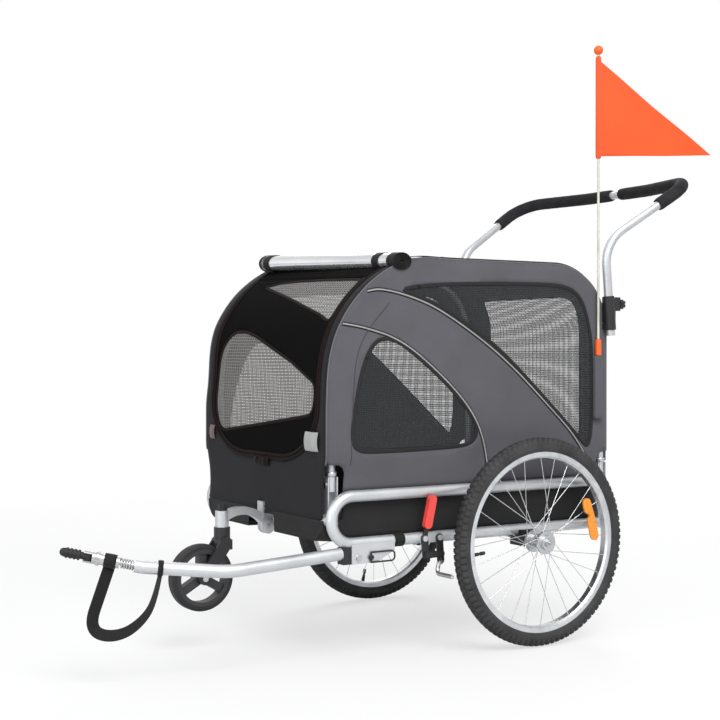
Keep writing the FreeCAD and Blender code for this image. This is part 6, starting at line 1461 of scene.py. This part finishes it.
class TRAILER_OT_set_stage(bpy.types.Operator):
    """Floor, lamps, world and the camera at the photograph's angle"""
    bl_idname = "trailer.set_stage"
    bl_label = "Set the stage"

    def execute(self, context):
        scene, settings = context.scene, context.scene.trailer_stage
        scene.view_settings.view_transform = "Standard"
        self.make_floor()
        self.make_world(scene)
        for name, place, size, power in LAMPS:
            lamp = bpy.data.lights.new(name, "AREA")
            lamp.energy = settings.key_power * power
            lamp.size = size
            holder = bpy.data.objects.new(name, lamp)
            scene.collection.objects.link(holder)
            holder.location = place
            aim = Vector(LAMP_TARGET) - Vector(place)
            holder.rotation_euler = aim.to_track_quat("-Z", "Y").to_euler()
        camera = bpy.data.cameras.new("camera")
        camera.lens = settings.lens
        camera.sensor_width = SENSOR_WIDTH
        camera.clip_end = 100.0
        holder = bpy.data.objects.new("camera", camera)
        scene.collection.objects.link(holder)
        place, target = metres(CAMERA_PLACE), metres(CAMERA_TARGET)
        holder.location = place
        holder.rotation_euler = Vector(target - place).to_track_quat("-Z", "Y").to_euler()
        scene.camera = holder
        return {"FINISHED"}

    def make_floor(self):
        """A pale round floor, lit partly by itself near the middle for a soft shadow, and white far out."""
        points, faces, _ = grid(turned(FLOOR_PROFILE, (0.0, 0.0, FLOOR_Z), (0, 0, -1), 64))
        mesh = bpy.data.meshes.new("floor")
        mesh.from_pydata(points.tolist(), [], faces.tolist())
        floor = bpy.data.objects.new("floor", mesh)
        bpy.context.scene.collection.objects.link(floor)
        pale = bpy.data.materials.new("pale floor")
        pale.use_nodes = True
        tree = pale.node_tree
        shader = tree.nodes["Principled BSDF"]
        shader.inputs["Base Color"].default_value = (0.86, 0.86, 0.86, 1.0)
        shader.inputs["Roughness"].default_value = 0.9
        glow = node(tree, "ShaderNodeEmission", {"Color": (1.0, 1.0, 1.0, 1.0), "Strength": 1.0})
        where = node(tree, "ShaderNodeTexCoord")
        reach = node(tree, "ShaderNodeVectorMath", {"operation": "LENGTH"})
        tree.links.new(where.outputs["Object"], reach.inputs[0])
        glare = node(tree, "ShaderNodeMapRange", FLOOR_GLOW, {"Value": reach.outputs["Value"]})
        ray = node(tree, "ShaderNodeLightPath")
        seen = node(tree, "ShaderNodeMath", {"operation": "MULTIPLY"})
        tree.links.new(ray.outputs["Is Camera Ray"], seen.inputs[0])
        tree.links.new(glare.outputs["Result"], seen.inputs[1])
        mix = node(tree, "ShaderNodeMixShader", None, {"Fac": seen.outputs[0]})
        tree.links.new(shader.outputs["BSDF"], mix.inputs[1])
        tree.links.new(glow.outputs["Emission"], mix.inputs[2])
        tree.links.new(mix.outputs["Shader"], tree.nodes["Material Output"].inputs["Surface"])
        mesh.materials.append(pale)

    def make_world(self, scene):
        """White where it is seen, reflected or seen through, and a plain grey light elsewhere."""
        world = bpy.data.worlds.new("studio")
        scene.world = world
        world.use_nodes = True
        tree = world.node_tree
        lit = tree.nodes["Background"]
        lit.inputs["Color"].default_value = (0.95, 0.97, 1.0, 1.0)
        lit.inputs["Strength"].default_value = 0.48
        white = node(tree, "ShaderNodeBackground", {"Color": (1.0, 1.0, 1.0, 1.0), "Strength": 1.0})
        ray = node(tree, "ShaderNodeLightPath")
        first = node(tree, "ShaderNodeMath", {"operation": "MAXIMUM"})
        tree.links.new(ray.outputs["Is Camera Ray"], first.inputs[0])
        tree.links.new(ray.outputs["Is Transmission Ray"], first.inputs[1])
        second = node(tree, "ShaderNodeMath", {"operation": "MAXIMUM"})
        tree.links.new(first.outputs[0], second.inputs[0])
        tree.links.new(ray.outputs["Is Glossy Ray"], second.inputs[1])
        mix = node(tree, "ShaderNodeMixShader", None, {"Fac": second.outputs[0]})
        tree.links.new(lit.outputs["Background"], mix.inputs[1])
        tree.links.new(white.outputs["Background"], mix.inputs[2])
        tree.links.new(mix.outputs["Shader"], tree.nodes["World Output"].inputs["Surface"])


OPERATORS = (TRAILER_OT_finish_metalwork, TRAILER_OT_make_sides, TRAILER_OT_make_cover, TRAILER_OT_make_door,
             TRAILER_OT_make_tub, TRAILER_OT_make_roll, TRAILER_OT_make_strap, TRAILER_OT_make_tyres,
             TRAILER_OT_make_flag, TRAILER_OT_make_grips, TRAILER_OT_make_trim, TRAILER_OT_set_stage)
SETTINGS = {"trailer_cover": CoverSettings, "trailer_gear": RunningGearSettings, "trailer_flag": FlagSettings,
            "trailer_stage": StageSettings}


class TRAILER_PT_dressing(bpy.types.Panel):
    """Shows the trailer's settings and the buttons that make its pieces"""
    bl_label = "Dog bike trailer"
    bl_idname = "TRAILER_PT_dressing"
    bl_space_type = "VIEW_3D"
    bl_region_type = "UI"
    bl_category = "Trailer"

    def draw(self, context):
        for name, kind in SETTINGS.items():
            box = self.layout.box()
            for key in kind.__annotations__:
                box.prop(getattr(context.scene, name), key)
        for operator in OPERATORS:
            self.layout.operator(operator.bl_idname)


def register():
    """Add the settings, operators and panel."""
    for kind in (*SETTINGS.values(), *OPERATORS, TRAILER_PT_dressing):
        bpy.utils.register_class(kind)
    for name, kind in SETTINGS.items():
        setattr(bpy.types.Scene, name, PointerProperty(type=kind))


def unregister():
    """Take the settings, operators and panel away again."""
    for name in SETTINGS:
        delattr(bpy.types.Scene, name)
    for kind in (TRAILER_PT_dressing, *reversed(OPERATORS), *reversed(SETTINGS.values())):
        bpy.utils.unregister_class(kind)


def main():
    """Make every piece."""
    register()
    for operator in OPERATORS:
        group, name = operator.bl_idname.split(".")
        getattr(getattr(bpy.ops, group), name)()


if __name__ == "__main__":
    main()
